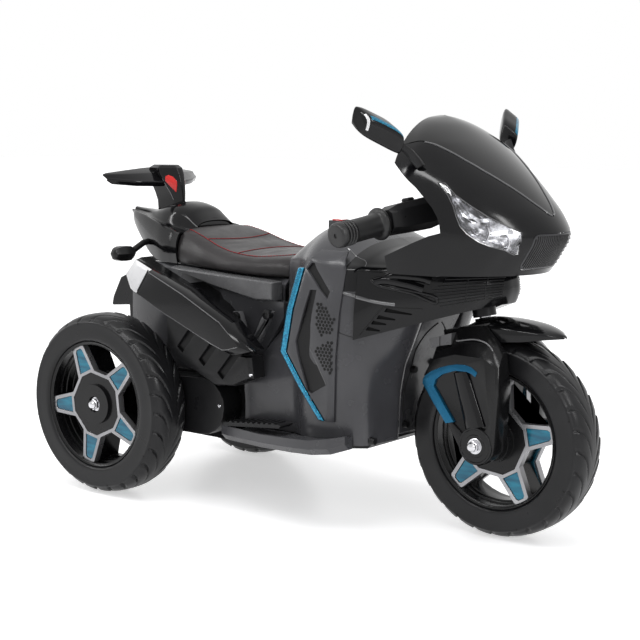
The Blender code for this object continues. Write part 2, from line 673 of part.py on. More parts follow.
# Footboards and the accelerator pedal
FOOT_STATIONS = [
    (0.2225, FLOOR_HALF_WIDTH + GAP, 0.157, 0.1105, 0.136),
    (0.240, FLOOR_HALF_WIDTH + GAP, 0.163, 0.111, 0.136),
    (0.317, FLOOR_HALF_WIDTH + GAP, 0.177, 0.113, 0.136),
    (0.380, 0.1460, 0.186, 0.116, 0.140),
    (0.424, 0.1496, 0.190, 0.119, 0.143),
    (0.458, 0.1496, 0.186, 0.124, 0.149),
    (0.478, 0.1496, 0.168, 0.131, 0.153),
]
FOOT_RIM = 0.006
FOOT_RIM_HEIGHT = 0.003
for side, word in ((RIGHT, "right"), (LEFT, "left")):
    rings = []
    for x, inner, outer, low, high in FOOT_STATIONS:
        floor = high - FOOT_RIM_HEIGHT
        section = [(inner, low), (outer - 0.010, low), (outer, low + 0.010), (outer, high),
                   (outer - FOOT_RIM, high), (outer - FOOT_RIM - 0.002, floor), (inner, floor)]
        rings.append([(x, side * y, z) for y, z in section])
    add_object(f"footboard_{word}", loft(rings), MATT_BLACK, frame)

PEDAL_PIVOT_Z = 0.1402
PEDAL_TILT = math.radians(5.2)
PEDAL_HALF_THICK = 0.003
pedal_origin = (PEDAL_REAR, RIGHT * (PEDAL_INNER + PEDAL_WIDTH / 2), PEDAL_PIVOT_Z)
RIB_PITCH = (PEDAL_LENGTH - 0.015) / PEDAL_RIBS
pedal_outline = [(PEDAL_LENGTH, -PEDAL_HALF_THICK), (PEDAL_LENGTH + 0.004, 0.0010),
                 (PEDAL_LENGTH, PEDAL_HALF_THICK)]
for k in reversed(range(PEDAL_RIBS)):
    start = 0.010 + k * RIB_PITCH
    pedal_outline += [(start + RIB_PITCH * 0.55, PEDAL_HALF_THICK), (start + RIB_PITCH * 0.45, 0.0052),
                      (start + RIB_PITCH * 0.10, 0.0052), (start, PEDAL_HALF_THICK)]
pedal_outline += [polar(PEDAL_HALF_THICK, math.pi / 2 + math.pi * k / 8) for k in range(9)]
pedal_mesh = prism(pedal_outline, RIGHT, PEDAL_INNER, PEDAL_INNER + PEDAL_WIDTH)
pedal_mesh.transform(Matrix.Rotation(-PEDAL_TILT, 4, "Y"))
moved(pedal_mesh, (PEDAL_REAR, 0, PEDAL_PIVOT_Z))
add_object("accelerator_pedal", pedal_mesh, MATT_BLACK, frame, pedal_origin)
saddle = [polar(PEDAL_HALF_THICK + GAP, math.pi + math.pi / 2 * k / 5) for k in range(6)]
saddle += [(0.001, -PEDAL_HALF_THICK - GAP), (0.001, -0.010), (-0.0065, -0.010), (-0.0065, 0.0)]
saddle_mesh = prism(saddle, RIGHT, PEDAL_INNER + 0.0015, PEDAL_INNER + 0.0175)
right_board = bpy.data.objects["footboard_right"]
boolean(right_board, "UNION", moved(saddle_mesh, (PEDAL_REAR, 0, PEDAL_PIVOT_Z)), frame, "pedal_saddle")

# Power rocker in a bezel on the tank
bezel_low = (SWITCH_X - SWITCH_LENGTH / 2 - 0.004, SWITCH_Y - SWITCH_WIDTH / 2 - 0.004, 0.4480)
bezel_high = (SWITCH_X + SWITCH_LENGTH / 2 + 0.004, SWITCH_Y + SWITCH_WIDTH / 2 + 0.004, BEZEL_TOP)
right_shell = bpy.data.objects["body_shell_right"]
boolean(right_shell, "UNION", box(bezel_low, bezel_high), frame, "bezel")
well_low = (SWITCH_X - SWITCH_LENGTH / 2 - 0.0005, SWITCH_Y - SWITCH_WIDTH / 2 - 0.0004, BEZEL_TOP - 0.0045)
well_high = (SWITCH_X + SWITCH_LENGTH / 2 + 0.0005, SWITCH_Y + SWITCH_WIDTH / 2 + 0.0004, BEZEL_TOP + 0.02)
boolean(right_shell, "DIFFERENCE", box(well_low, well_high), frame, "switch_well")
rocker_pivot = (SWITCH_X, SWITCH_Y, BEZEL_TOP - 0.0012)
reach = SWITCH_LENGTH / 2
rocker_outline = [(-reach, -0.0010), (0, -0.0030), (reach, -0.0010),
                  (reach, 0.0032), (0, 0.0014), (-reach, 0.0032)]
rocker = moved(prism(rocker_outline, 1, -SWITCH_WIDTH / 2, SWITCH_WIDTH / 2), rocker_pivot)
add_object("power_switch", rocker, RED, frame, rocker_pivot)

# Seat base: the rear body shell between the tub and the seat
BASE_STATIONS = [(-0.060, 0.072, 0.368), (0.000, 0.094, 0.3795), (0.070, 0.098, 0.3795),
                 (0.160, 0.100, 0.3765), (0.240, 0.100, 0.3730), (0.3028, 0.098, 0.3705)]
rows = []
for x, width, top in BASE_STATIONS:
    low = between(x, [(0.235, TUB_TOP + GAP), (0.3028, 0.300)])
    half = [(width, low), (width, top - 0.018), (width - 0.003, top - 0.008),
            (width - 0.012, top), (0.0, top)]
    rows.append([(x, -y, z) for y, z in half] + [(x, y, z) for y, z in reversed(half[:-1])])
skin("seat_base", rows, WALL, (0.12, 0, 0.28), MATT_BLACK, frame)

# Side panels: pale grey strips under the seat
BASE_HALF_WIDTH = max(width for x, width, top in BASE_STATIONS)
BASE_TOP_LINE = [(x, top) for x, width, top in BASE_STATIONS]
PANEL_OUTLINE = [(0.078, 0.3785), (0.301, 0.3685), (0.301, 0.338), (0.268, 0.336), (0.170, 0.3545)]
for side, word in ((RIGHT, "right"), (LEFT, "left")):
    inner = BASE_HALF_WIDTH + GAP
    rings = []
    for y, shrink in ((inner, 0.0), (inner + 0.020, 0.0), (inner + 0.026, 0.004)):
        centre_x, centre_z = 0.21, 0.358
        rings.append([(x + (centre_x - x) * shrink * 8, side * y, z + (centre_z - z) * shrink * 30)
                      for x, z in PANEL_OUTLINE])
    add_object(f"side_panel_{word}", loft(rings), GREY_PLASTIC, frame)

# Seat: one crowned cushion with a drawn-in seam round its top panel
SEAT_TOP = [(0.068, 0.440), (0.082, 0.4410), (0.110, 0.4330), (0.150, 0.4180), (0.190, 0.4080),
            (0.230, 0.4045), (0.265, 0.4060), (0.292, 0.4065), (0.303, 0.4030)]
SEAT_WIDTH = [(0.068, 0.0965), (0.082, 0.101), (0.130, 0.110), (0.200, SEAT_HALF_WIDTH),
              (0.260, 0.108), (0.292, 0.098), (0.303, 0.088)]
SEAT_STATIONS = [0.068, 0.080, 0.100, 0.125, 0.150, 0.175, 0.200, 0.225, 0.250, 0.275, 0.292, 0.303]


def seat_ring(x):
    top = between(x, SEAT_TOP)
    width = between(x, SEAT_WIDTH)
    low = between(x, BASE_TOP_LINE) + 2 * GAP
    rise = top - low
    side_shape = [(width - 0.006, low), (width - 0.001, low + 0.10 * rise), (width, low + 0.28 * rise),
                  (width - 0.004, low + 0.46 * rise), (width - 0.0075, low + 0.52 * rise),
                  (width - 0.0085, low + 0.60 * rise), (width - 0.018, low + 0.80 * rise),
                  (width - 0.040, low + 0.945 * rise)]
    half = [(0.050, low)] + side_shape + [(width * 0.36, low + 0.985 * rise)]
    ring = [(x, -y, z) for y, z in half] + [(x, 0.0, top)] + [(x, y, z) for y, z in reversed(half)]
    return ring + [(x, 0.0, low)]


add_object("seat", loft([seat_ring(x) for x in SEAT_STATIONS]), LEATHER, frame, sharp_deg=60)

# Tail cowl with its hump, an open-bottomed shell behind the seat
COWL_STATIONS = [
    (-0.118, 0.010, 0.448, 0.460, 0.465),
    (-0.100, 0.028, 0.440, 0.459, 0.468),
    (-0.075, 0.044, 0.425, 0.458, 0.470),
    (-0.040, 0.062, 0.405, 0.454, 0.473),
    (-0.012, 0.076, 0.388, 0.448, 0.476),
    (0.022, 0.090, 0.3805, 0.441, 0.477),
    (0.048, 0.096, 0.3805, 0.436, 0.467),
    (SEAT_REAR - GAP - 0.0005, 0.099, 0.3805, 0.432, 0.450),
]
HUMP_LINE = [(x, hump) for x, width, low, shoulder, hump in COWL_STATIONS]
rows = []
for x, width, low, shoulder, hump in COWL_STATIONS:
    dome = min(0.050, width * 0.62)
    half = [(width * 0.97, low), (width, low + 0.5 * (shoulder - low)), (width * 0.86, shoulder),
            (dome, shoulder + 0.003), (dome * 0.86, shoulder + 0.6 * (hump - shoulder)),
            (dome * 0.45, hump - 0.002), (0.0, hump)]
    rows.append([(x, -y, z) for y, z in half] + [(x, y, z) for y, z in reversed(half[:-1])])
skin("tail_cowl", rows, WALL, (0.0, 0, 0.40), GLOSS_BLACK, frame)

# Rear wing on its pillar
WING_SECTIONS = [(0.000, -0.078, 0.5365, -0.026, 0.5130), (0.030, -0.080, 0.5350, -0.030, 0.5125),
                 (0.085, -0.088, 0.5300, -0.060, 0.5150), (WING_HALF_SPAN, -0.094, 0.5270, -0.078, 0.5185)]
WING_THICKNESS = 0.0105
rings = []
for side_sign, sections in ((-1, reversed(WING_SECTIONS)), (1, WING_SECTIONS[1:])):
    for y, back, back_z, front, front_z in sections:
        section = [(back, back_z - 0.003), (back + 0.003, back_z), (front - 0.005, front_z + 0.001),
                   (front, front_z - 0.002), (front - 0.004, front_z - WING_THICKNESS),
                   (back + 0.012, (back_z + front_z) / 2 - WING_THICKNESS)]
        rings.append([(x, side_sign * y, z) for x, z in section])
wing = add_object("rear_wing", loft(rings), GLOSS_BLACK, frame)
PILLAR_OUTLINE = [(-0.072, 0.527), (-0.066, 0.5375), (-0.050, 0.5405), (-0.032, 0.5400), (-0.020, 0.5350),
                  (-0.010, 0.5240), (-0.007, 0.5050), (-0.004, 0.4900)]
PILLAR_OUTLINE += [(x, between(x, HUMP_LINE) + GAP) for x in (-0.004, -0.012, -0.040, -0.056)]
PILLAR_OUTLINE += [(-0.058, 0.4800), (-0.055, 0.4980), (-0.066, 0.5100)]
pillar_rings = []
for y, grow in ((-0.019, -0.10), (-0.014, 0.0), (0.014, 0.0), (0.019, -0.10)):
    pillar_rings.append([(x + (x + 0.030) * grow, y, z) for x, z in PILLAR_OUTLINE])
boolean(wing, "UNION", loft(pillar_rings), frame, "pillar")

# Rear turn signals on short stalks
SIGNAL = (-0.026, 0.3935)
STALK_ROOT_Z = 0.4120
STALK_RADIUS = 0.0048


def cowl_side(x, z):
    """Half width of the cowl's lower side wall at a place."""
    width = between(x, [(s[0], s[1]) for s in COWL_STATIONS])
    low = between(x, [(s[0], s[2]) for s in COWL_STATIONS])
    shoulder = between(x, [(s[0], s[3]) for s in COWL_STATIONS])
    rise = (z - low) / (0.5 * (shoulder - low))
    return width * (0.97 + 0.03 * min(1.0, max(0.0, rise)))


POD = [(0, 0.104), (0.008, 0.106), (0.0135, 0.116), (0.0140, 0.140), (0.0095, 0.150), (0, 0.152)]
for side, word in ((RIGHT, "right"), (LEFT, "left")):
    pod = moved(wheel_turn(POD, 16, side), (SIGNAL[0], 0, SIGNAL[1]))
    signal = add_object(f"rear_signal_{word}", pod, MATT_BLACK, frame)
    root, tip = [], []
    for k in range(10):
        dx, dz = polar(STALK_RADIUS, 2 * math.pi * k / 10)
        x, z = SIGNAL[0] + dx, STALK_ROOT_Z + dz
        root.append((x, side * (cowl_side(x, z) + 2 * GAP), z))
        tip.append((x, side * 0.112, SIGNAL[1] + dz))
    boolean(signal, "UNION", loft([root, tip]), frame, "stalk")

# Plate holder: a bent flap behind the rear wheels' line
HOLDER_FRONT = BASE_STATIONS[0][0] - GAP
holder_outline = [(HOLDER_FRONT, 0.366), (HOLDER_FRONT, 0.335), (-0.052, 0.274), (-0.056, 0.256),
                  (-0.103, 0.268), (-0.1045, 0.2905), (-FLAP_REACH + 0.001, 0.2865),
                  (-FLAP_REACH, 0.290), (-0.1446, 0.303), (-0.1255, 0.3385), (-0.1055, 0.3475),
                  (-0.088, 0.372), (-0.074, 0.378)]
add_object("plate_holder", prism(holder_outline, 1, -0.036, 0.036), MATT_BLACK, frame)

# Silencers: angular boxes over the rear wheels
SILENCER_MIDDLE_X = 0.170
SILENCER_SECTIONS = [
    (BASE_HALF_WIDTH + 2 * GAP, -0.65, 0.335),
    (SILENCER_INNER - 0.012, -0.65, 0.335),
    (SILENCER_INNER, 0, 0),
    (SILENCER_OUTER - 0.008, 0, 0),
    (SILENCER_OUTER, -0.12, 0.322),
]
SILENCER_OUTLINE = [(0.062, 0.3935), (0.040, 0.368), (0.050, 0.345), (0.110, 0.317), (0.235, 0.268),
                    (0.272, 0.256), (0.308, 0.266), (0.262, 0.306), (0.170, 0.350)]
for side, word in ((RIGHT, "right"), (LEFT, "left")):
    rings = []
    for y, grow, middle_z in SILENCER_SECTIONS:
        rings.append([(x + (x - SILENCER_MIDDLE_X) * grow, side * y, z + (z - middle_z) * grow)
                      for x, z in SILENCER_OUTLINE])
    add_object(f"silencer_{word}", loft(rings), MATT_BLACK, frame)

# Ribbed covers in front of the rear wheels
COVER_OUTLINE = [(0.108, 0.3140), (0.172, 0.2900), (0.232, 0.2660), (0.270, 0.2535), (0.2895, 0.2520),
                 (0.2945, 0.2190), (0.2570, 0.2030), (0.2190, 0.1990), (0.1720, 0.2190),
                 (0.1500, 0.2260), (0.1080, 0.2500)]
for side, word in ((RIGHT, "right"), (LEFT, "left")):
    rings = []
    for y, grow in ((0.1130, 0.0), (COVER_OUTER - 0.006, 0.0), (COVER_OUTER, -0.06)):
        rings.append([(x + (x - 0.20) * grow, side * y, z + (z - 0.245) * grow) for x, z in COVER_OUTLINE])
    cover = add_object(f"ribbed_cover_{word}", loft(rings), MATT_BLACK, frame)
    clear_low = (0.2300, min(0, side * 0.1340), 0.15)
    clear_high = (0.3500, max(0, side * 0.1340), 0.35)
    boolean(cover, "DIFFERENCE", box(clear_low, clear_high), frame, "body_clearance")

# Fairing: one hood surface, parted into shell, screen, lamps and grille
HOOD_LEVELS = [
    (0.4020, 0.708, 0.1460), (0.4300, 0.727, 0.1510), (0.4580, 0.741, 0.1530), (0.4850, 0.728, 0.1535),
    (0.5150, 0.700, 0.150), (0.5450, 0.668, 0.141), (0.5750, 0.632, 0.122), (0.6000, 0.598, 0.095),
    (0.6180, 0.570, 0.064), (0.6280, 0.548, 0.034), (0.6320, 0.535, 0.000),
]
HOOD_BACK = 0.555


def hood_row(z, nose, width):
    straight = min(HOOD_BACK, FAIRING_REAR + 0.5 * (nose - FAIRING_REAR))
    reach = nose - straight
    half = bezier((nose, 0.0), (nose, 0.45 * width), (straight + 0.58 * reach, width), (straight, width), 8)
    half.append((FAIRING_REAR, width))
    return [(x, -y, z) for x, y in reversed(half)] + [(x, y, z) for x, y in half[1:]]


def hood(name, mat):
    rows = [hood_row(z, nose, width) for z, nose, width in HOOD_LEVELS]
    return skin(name, rows, WALL, (0.60, 0, 0.46), mat, frame, merge_top=True)


REAR_EDGE_CUT = [(0.480, 0.660), (0.524, 0.645), (0.531, 0.597), (0.535, 0.560), (0.566, 0.537),
                 (0.594, 0.516), (0.616, 0.490), (0.624, 0.464), (0.606, 0.4600), (0.533, 0.427),
                 (0.536, 0.398), (0.480, 0.390)]
SCREEN_PLAN = [(0.722, 0.006), (0.705, 0.022), (0.670, 0.048), (0.620, 0.078), (0.570, 0.100),
               (0.480, 0.122)]
LAMP_OUTLINE = [(0.622, 0.538), (0.652, 0.5150), (0.684, 0.488), (0.711, 0.466), (0.716, 0.440),
                (0.703, 0.428), (0.667, 0.446), (0.651, 0.474), (0.641, 0.505)]
LAMP_INNER = 0.0575


def screen_tool(inset):
    half = [(x - inset if k == 0 else x, max(y - inset, 0.001)) for k, (x, y) in enumerate(SCREEN_PLAN)]
    plan = [(x, -y) for x, y in half] + [(x, y) for x, y in reversed(half)]
    return loft([[(x, y, z) for x, y in plan] for z in (0.472 + inset, 0.70)])


def lamp_tool(side, inset):
    middle = (0.675, 0.478)
    outline = []
    for x, z in LAMP_OUTLINE:
        away = Vector((x - middle[0], z - middle[1]))
        drawn = away * (1 - 1.6 * inset / away.length)
        outline.append((middle[0] + drawn.x, middle[1] + drawn.y))
    return prism(outline, side, LAMP_INNER + inset, 0.20)


def grille_tool(inset):
    low, high, half = GRILLE_LOW + inset, GRILLE_HIGH - inset, GRILLE_HALF_WIDTH - inset
    corner = 0.010
    section = [(-half, low + corner), (-half + corner, low), (half - corner, low), (half, low + corner),
               (half, high - corner), (half - corner, high), (-half + corner, high), (-half, high - corner)]
    return loft([[(x, y, z) for y, z in section] for x in (0.66, 0.80)])


fairing = hood("fairing", GLOSS_BLACK)
LEDGE_PLAN = [(0.545, 0.1440), (0.545, 0.1100), (0.600, 0.0750), (0.612, 0.0750), (0.612, 0.1318)]
LEDGE_THICKNESS = 0.004
for side, word in ((RIGHT, "right"), (LEFT, "left")):
    levels = (CHIN_TOP + GAP, CHIN_TOP + GAP + LEDGE_THICKNESS)
    ledge = loft([[(x, side * y, z) for x, y in LEDGE_PLAN] for z in levels])
    boolean(fairing, "UNION", ledge, frame, f"ledge_{word}")
boolean(fairing, "DIFFERENCE", prism(REAR_EDGE_CUT, 1, -0.3, 0.3), frame, "rear_edge")
boolean(fairing, "DIFFERENCE", screen_tool(0), frame, "screen")
boolean(fairing, "DIFFERENCE", grille_tool(0), frame, "grille")
screen = hood("windscreen", DARK_SCREEN)
boolean(screen, "INTERSECT", screen_tool(GAP), frame, "outline")
boolean(screen, "DIFFERENCE", prism(REAR_EDGE_CUT, 1, -0.3, 0.3), frame, "rear_edge")
grille = hood("grille", MATT_BLACK)
boolean(grille, "INTERSECT", grille_tool(GAP), frame, "outline")
for side, word in ((RIGHT, "right"), (LEFT, "left")):
    boolean(fairing, "DIFFERENCE", lamp_tool(side, 0), frame, f"lamp_{word}")
    lamp = hood(f"headlight_{word}", CLEAR)
    boolean(lamp, "INTERSECT", lamp_tool(side, GAP), frame, "outline")

# Mirrors, each turning on the screw in its foot
MIRROR_FOOT = (0.579, 0.1325, 0.563)
MIRROR_STATIONS = [
    (0.557, 0.146, 0.585, 0.011, 0.0100),
    (0.549, 0.158, 0.594, 0.014, 0.0135),
    (0.531, 0.196, 0.6215, 0.013, 0.0135),
    (0.527, 0.2075, 0.6285, 0.009, 0.0090),
]
MIRROR_SECTION = [(-1, -0.6), (-0.6, -1), (0.5, -0.9), (1, -0.3), (0.8, 0.7), (0.2, 1), (-1, 0.8)]
MIRROR_ARM = [(0.584, 0.1325, 0.556, 0.007), (0.574, 0.1340, 0.568, 0.007), (0.553, 0.150, 0.592, 0.006)]
MIRROR_ARM_DEPTH = 0.005
for side, word in ((RIGHT, "right"), (LEFT, "left")):
    rings = []
    for x, y, z, deep, tall in MIRROR_STATIONS:
        rings.append([(x + dx * deep, side * y, z + dz * tall) for dx, dz in MIRROR_SECTION])
    foot = (MIRROR_FOOT[0], side * MIRROR_FOOT[1], MIRROR_FOOT[2])
    mirror = add_object(f"mirror_{word}", loft(rings), MATT_BLACK, frame, foot)
    arm_rings = []
    for x, y, z, half_width in MIRROR_ARM:
        rise = half_width * 0.4
        near = [(x - half_width, y, z - rise), (x + half_width, y, z + rise)]
        far = [(px, py + MIRROR_ARM_DEPTH, pz) for px, py, pz in reversed(near)]
        arm_rings.append([(px, side * py, pz) for px, py, pz in near + far])
    boolean(mirror, "UNION", loft(arm_rings), frame, "arm")

# Fork: two moulded legs and a crown over the wheel, in the steering frame
def boss_arc(steps):
    return [polar(FORK_BOSS_RADIUS, math.radians(-10 - 165 * k / steps)) for k in range(steps + 1)]


LEG_OUTER = [(-0.0722, 0.1133), (-0.0517, 0.1364), (-0.0101, 0.1395), (0.0436, 0.1276), (0.0601, 0.1096),
             (0.0526, 0.0754)]
LEG_INNER = [(-0.0722, 0.1133), (-0.0500, 0.1650), (-0.0100, 0.1760), (0.0290, 0.1720), (0.0560, 0.1300),
             (0.0526, 0.0754)]


def leg(side):
    rings = []
    layers = ((FORK_INNER, LEG_INNER), (FORK_INNER + 0.010, LEG_INNER), (FORK_OUTER - 0.004, LEG_OUTER))
    for y, top in layers:
        rings.append([(u, side * y, s) for u, s in top + boss_arc(8)])
    drawn = [(u * 0.93, s * 0.985) for u, s in LEG_OUTER]
    arc = [(u * 0.9, s * 0.9) for u, s in boss_arc(8)]
    rings.append([(u, side * FORK_OUTER, s) for u, s in drawn + arc])
    return loft(rings)


fork = add_object("fork", leg(RIGHT), MATT_BLACK, steering)
boolean(fork, "UNION", leg(LEFT), steering, "left_leg")
crown_half_width = FORK_INNER + 0.004
crown = box((CROWN_REAR, -crown_half_width, CROWN_LOW), (CROWN_FRONT, crown_half_width, CROWN_HIGH))
boolean(fork, "UNION", crown, steering, "crown")
lug = [(0.020, CROWN_LOW), (0.046, CROWN_LOW + 0.002)]
lug += [polar(MUDGUARD_RADIUS - 0.0052, math.radians(degrees)) for degrees in (75, 77.5, 80)]
lug.append((0.020, CROWN_HIGH - 0.002))
boolean(fork, "UNION", prism(lug, 1, -0.030, 0.030), steering, "mudguard_lug")
stem_boss = cylinder(STEM_BOSS_RADIUS, CROWN_LOW + 0.004, STEM_BOSS_TOP, 20, "Z")
boolean(fork, "UNION", stem_boss, steering, "stem_boss")
axle_hole = cylinder(clear_bore(AXLE_RADIUS, AXLE_STEPS), -0.2, 0.2, AXLE_STEPS)
boolean(fork, "DIFFERENCE", axle_hole, steering, "axle_hole")

# Mudguard: a pointed arch in front of the crown
MUDGUARD_STATIONS = [
    (79.5, MUDGUARD_RADIUS, 1.0, 0.030),
    (70, MUDGUARD_RADIUS + 0.001, 1.0, 0.028),
    (60, MUDGUARD_RADIUS + 0.004, 0.92, 0.022),
    (52, MUDGUARD_RADIUS + 0.007, 0.62, 0.012),
    (46, MUDGUARD_RADIUS + 0.009, 0.16, 0.002),
]
rows = []
for degrees, radius, width, drop in MUDGUARD_STATIONS:
    angle = math.radians(degrees)
    half = []
    for across, fall in ((1.0, drop), (0.97, drop * 0.35), (0.72, drop * 0.08), (0.0, -0.002)):
        u, s = polar(radius - fall, angle)
        half.append((u, across * width * MUDGUARD_HALF_WIDTH, s))
    rows.append([(u, -v, s) for u, v, s in half] + [(u, v, s) for u, v, s in reversed(half[:-1])])
skin("mudguard", rows, MUDGUARD_WALL, (0, 0, 0), GLOSS_BLACK, steering)

# Stem, handlebar with its two switch housings, and grips
CLAMP_LOW = BAR_HEIGHT - 0.012
stem = cylinder(STEM_RADIUS, STEM_BOSS_TOP + GAP, CLAMP_LOW, 16, "Z")
add_object("steering_stem", stem, STEEL, steering)
BAR_HALF = [(0.000, 0.000, BAR_HEIGHT), (-0.010, 0.030, BAR_HEIGHT), (-0.034, 0.060, BAR_HEIGHT - 0.001),
            (-0.0758, 0.120, 0.3466), (-0.0962, 0.207, 0.3362)]
bar_points = [(u, -v, s) for u, v, s in reversed(BAR_HALF)] + BAR_HALF[1:]
bar = add_object("handlebar", sweep(bar_points, BAR_RADIUS, 12), MATT_BLACK, steering)
clamp = box((-0.020, -0.022, CLAMP_LOW + GAP), (0.018, 0.022, BAR_HEIGHT + 0.013))
boolean(bar, "UNION", clamp, steering, "clamp")
grip_start = Vector(BAR_HALF[3])
grip_run = (Vector(BAR_HALF[4]) - grip_start).normalized()
HOUSING_STATIONS = [
    (-0.026, 0.050, 0.352, 0.016, 0.019),
    (-0.040, 0.066, 0.352, 0.022, 0.024),
    (-0.066, 0.104, 0.349, 0.020, 0.022),
    (-0.074, 0.1155, 0.3475, 0.016, 0.017),
]
HOUSING_SECTION = [(-1, -0.7), (-0.6, -1), (0.6, -1), (1, -0.6), (1, 0.6), (0.6, 1), (-0.6, 1), (-1, 0.7)]
GRIP_STEPS = 24
GRIP_BORE = clear_bore(BAR_RADIUS, GRIP_STEPS)
GRIP_BORE_END = 0.0906
GRIP_PROFILE = [
    (GRIP_BORE, 0.002), (GRIP_FLANGE_RADIUS, 0.002), (GRIP_FLANGE_RADIUS, 0.008),
    (GRIP_RADIUS, 0.011), (GRIP_RADIUS, 0.068), (GRIP_RADIUS + 0.002, 0.071),
    (GRIP_RADIUS + 0.002, 0.086), (GRIP_RADIUS + 0.0005, 0.0925), (0, 0.0935),
    (0, GRIP_BORE_END), (GRIP_BORE, GRIP_BORE_END),
]
for side, word in ((RIGHT, "right"), (LEFT, "left")):
    housing = []
    for u, v, s, deep, tall in HOUSING_STATIONS:
        housing.append([(u + dx * deep, side * v, s + dz * tall) for dx, dz in HOUSING_SECTION])
    boolean(bar, "UNION", loft(housing), steering, f"housing_{word}")
    grip_mesh = turned(GRIP_PROFILE, GRIP_STEPS, "Z")
    run = Vector((grip_run.x, side * grip_run.y, grip_run.z))
    start = Vector((grip_start.x, side * grip_start.y, grip_start.z))
    turn = Vector((0, 0, 1)).rotation_difference(run).to_matrix().to_4x4()
    grip_mesh.transform(Matrix.Translation(start) @ turn)
    add_object(f"grip_{word}", grip_mesh, RUBBER, steering)

# Horn button in a well on top of the left switch housing
HORN = Vector((-0.052, 0.084, 0.3700))
HORN_RADIUS = 0.0065
HORN_HEIGHT = 0.0075
HORN_WELL_DEPTH = 0.003
horn_well = cylinder(HORN_RADIUS + 0.0004, -HORN_WELL_DEPTH, 0.03, 16, "Z")
boolean(bar, "DIFFERENCE", moved(horn_well, HORN), steering, "horn_well")
horn = moved(cylinder(HORN_RADIUS, 0.0, HORN_HEIGHT, 16, "Z"), HORN)
add_object("horn_button", horn, RED, steering, HORN)
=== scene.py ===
import math

import bmesh
import bpy
from mathutils import Matrix, Vector
from mathutils.bvhtree import BVHTree


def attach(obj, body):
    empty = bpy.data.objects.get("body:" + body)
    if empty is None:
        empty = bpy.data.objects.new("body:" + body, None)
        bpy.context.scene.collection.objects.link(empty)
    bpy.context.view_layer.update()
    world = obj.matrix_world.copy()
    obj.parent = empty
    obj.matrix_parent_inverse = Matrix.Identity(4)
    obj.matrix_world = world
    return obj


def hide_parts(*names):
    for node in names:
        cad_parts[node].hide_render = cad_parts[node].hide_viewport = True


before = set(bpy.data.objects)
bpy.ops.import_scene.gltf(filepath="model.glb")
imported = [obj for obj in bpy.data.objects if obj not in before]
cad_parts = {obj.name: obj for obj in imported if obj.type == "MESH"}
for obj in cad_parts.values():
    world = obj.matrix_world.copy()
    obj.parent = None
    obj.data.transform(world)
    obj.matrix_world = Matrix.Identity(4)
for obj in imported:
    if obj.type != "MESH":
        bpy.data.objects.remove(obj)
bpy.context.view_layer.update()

# Camera
# The photograph's view: from the front right, a little above the seat, with a long lens.
view_from = Vector((1.4784, -1.9486, 0.6331))
view_to = Vector((-0.0287, 0.0, 0.2959))
camera_roll = math.radians(-0.5811)
FOCAL_LENGTH = 85.06
SENSOR_WIDTH = 36.0
CLIP_END = 60.0


def linked(name, data):
    """New object in the scene."""
    made = bpy.data.objects.new(name, data)
    bpy.context.scene.collection.objects.link(made)
    return made


camera = linked("camera", bpy.data.cameras.new("camera"))
camera.data.lens = FOCAL_LENGTH
camera.data.sensor_width = SENSOR_WIDTH
camera.data.clip_end = CLIP_END
aim = (view_to - view_from).to_track_quat("-Z", "Y").to_matrix()
camera.matrix_world = Matrix.Translation(view_from) @ (aim @ Matrix.Rotation(-camera_roll, 3, "Z")).to_4x4()
bpy.context.scene.camera = camera
bpy.context.scene.view_settings.view_transform = "Standard"

# Studio light
# A pale room that lights from all round, three broad soft boxes that light, and three narrow
# strips that only mirror, which draw the bright bands along the glossy mouldings.
WHITE = (1.0, 1.0, 1.0, 1.0)
ROOM_LIGHT = 0.46
ROOM_SHOWN = 1.0
SKY_POWER = 1.0
SKY_SPREAD = 50
SKY_TURN = (12, -10, 0)
world = bpy.data.worlds.new("pale studio")
world.use_nodes = True
bpy.context.scene.world = world
room, wires = world.node_tree.nodes, world.node_tree.links


def seen_directly(nodes, links):
    """One for camera, glossy and transmission rays, zero for the rays that only carry light."""
    path = nodes.new("ShaderNodeLightPath")
    found = path.outputs["Is Camera Ray"]
    for kind in ("Is Glossy Ray", "Is Transmission Ray"):
        either = nodes.new("ShaderNodeMath")
        either.operation = "MAXIMUM"
        links.new(found, either.inputs[0])
        links.new(path.outputs[kind], either.inputs[1])
        found = either.outputs[0]
    return found


shown = room["Background"]
shown.inputs["Color"].default_value = WHITE
shown.inputs["Strength"].default_value = ROOM_SHOWN
lighting = room.new("ShaderNodeBackground")
lighting.inputs["Color"].default_value = WHITE
lighting.inputs["Strength"].default_value = ROOM_LIGHT
choose = room.new("ShaderNodeMixShader")
wires.new(seen_directly(room, wires), choose.inputs["Fac"])
wires.new(lighting.outputs[0], choose.inputs[1])
wires.new(shown.outputs[0], choose.inputs[2])
wires.new(choose.outputs[0], room["World Output"].inputs["Surface"])


def soft_box(name, place, target, width, height, power, lights=True, mirrored=True):
    """Rectangular lamp aimed at a target, which lights, shows in gloss, or both."""
    lamp = bpy.data.lights.new(name, "AREA")
    lamp.shape = "RECTANGLE"
    lamp.size = width
    lamp.size_y = height
    lamp.energy = power
    holder = linked(name, lamp)
    place = Vector(place)
    turn = (Vector(target) - place).to_track_quat("-Z", "Y").to_matrix().to_4x4()
    holder.matrix_world = Matrix.Translation(place) @ turn
    holder.visible_diffuse = lights
    holder.visible_glossy = mirrored


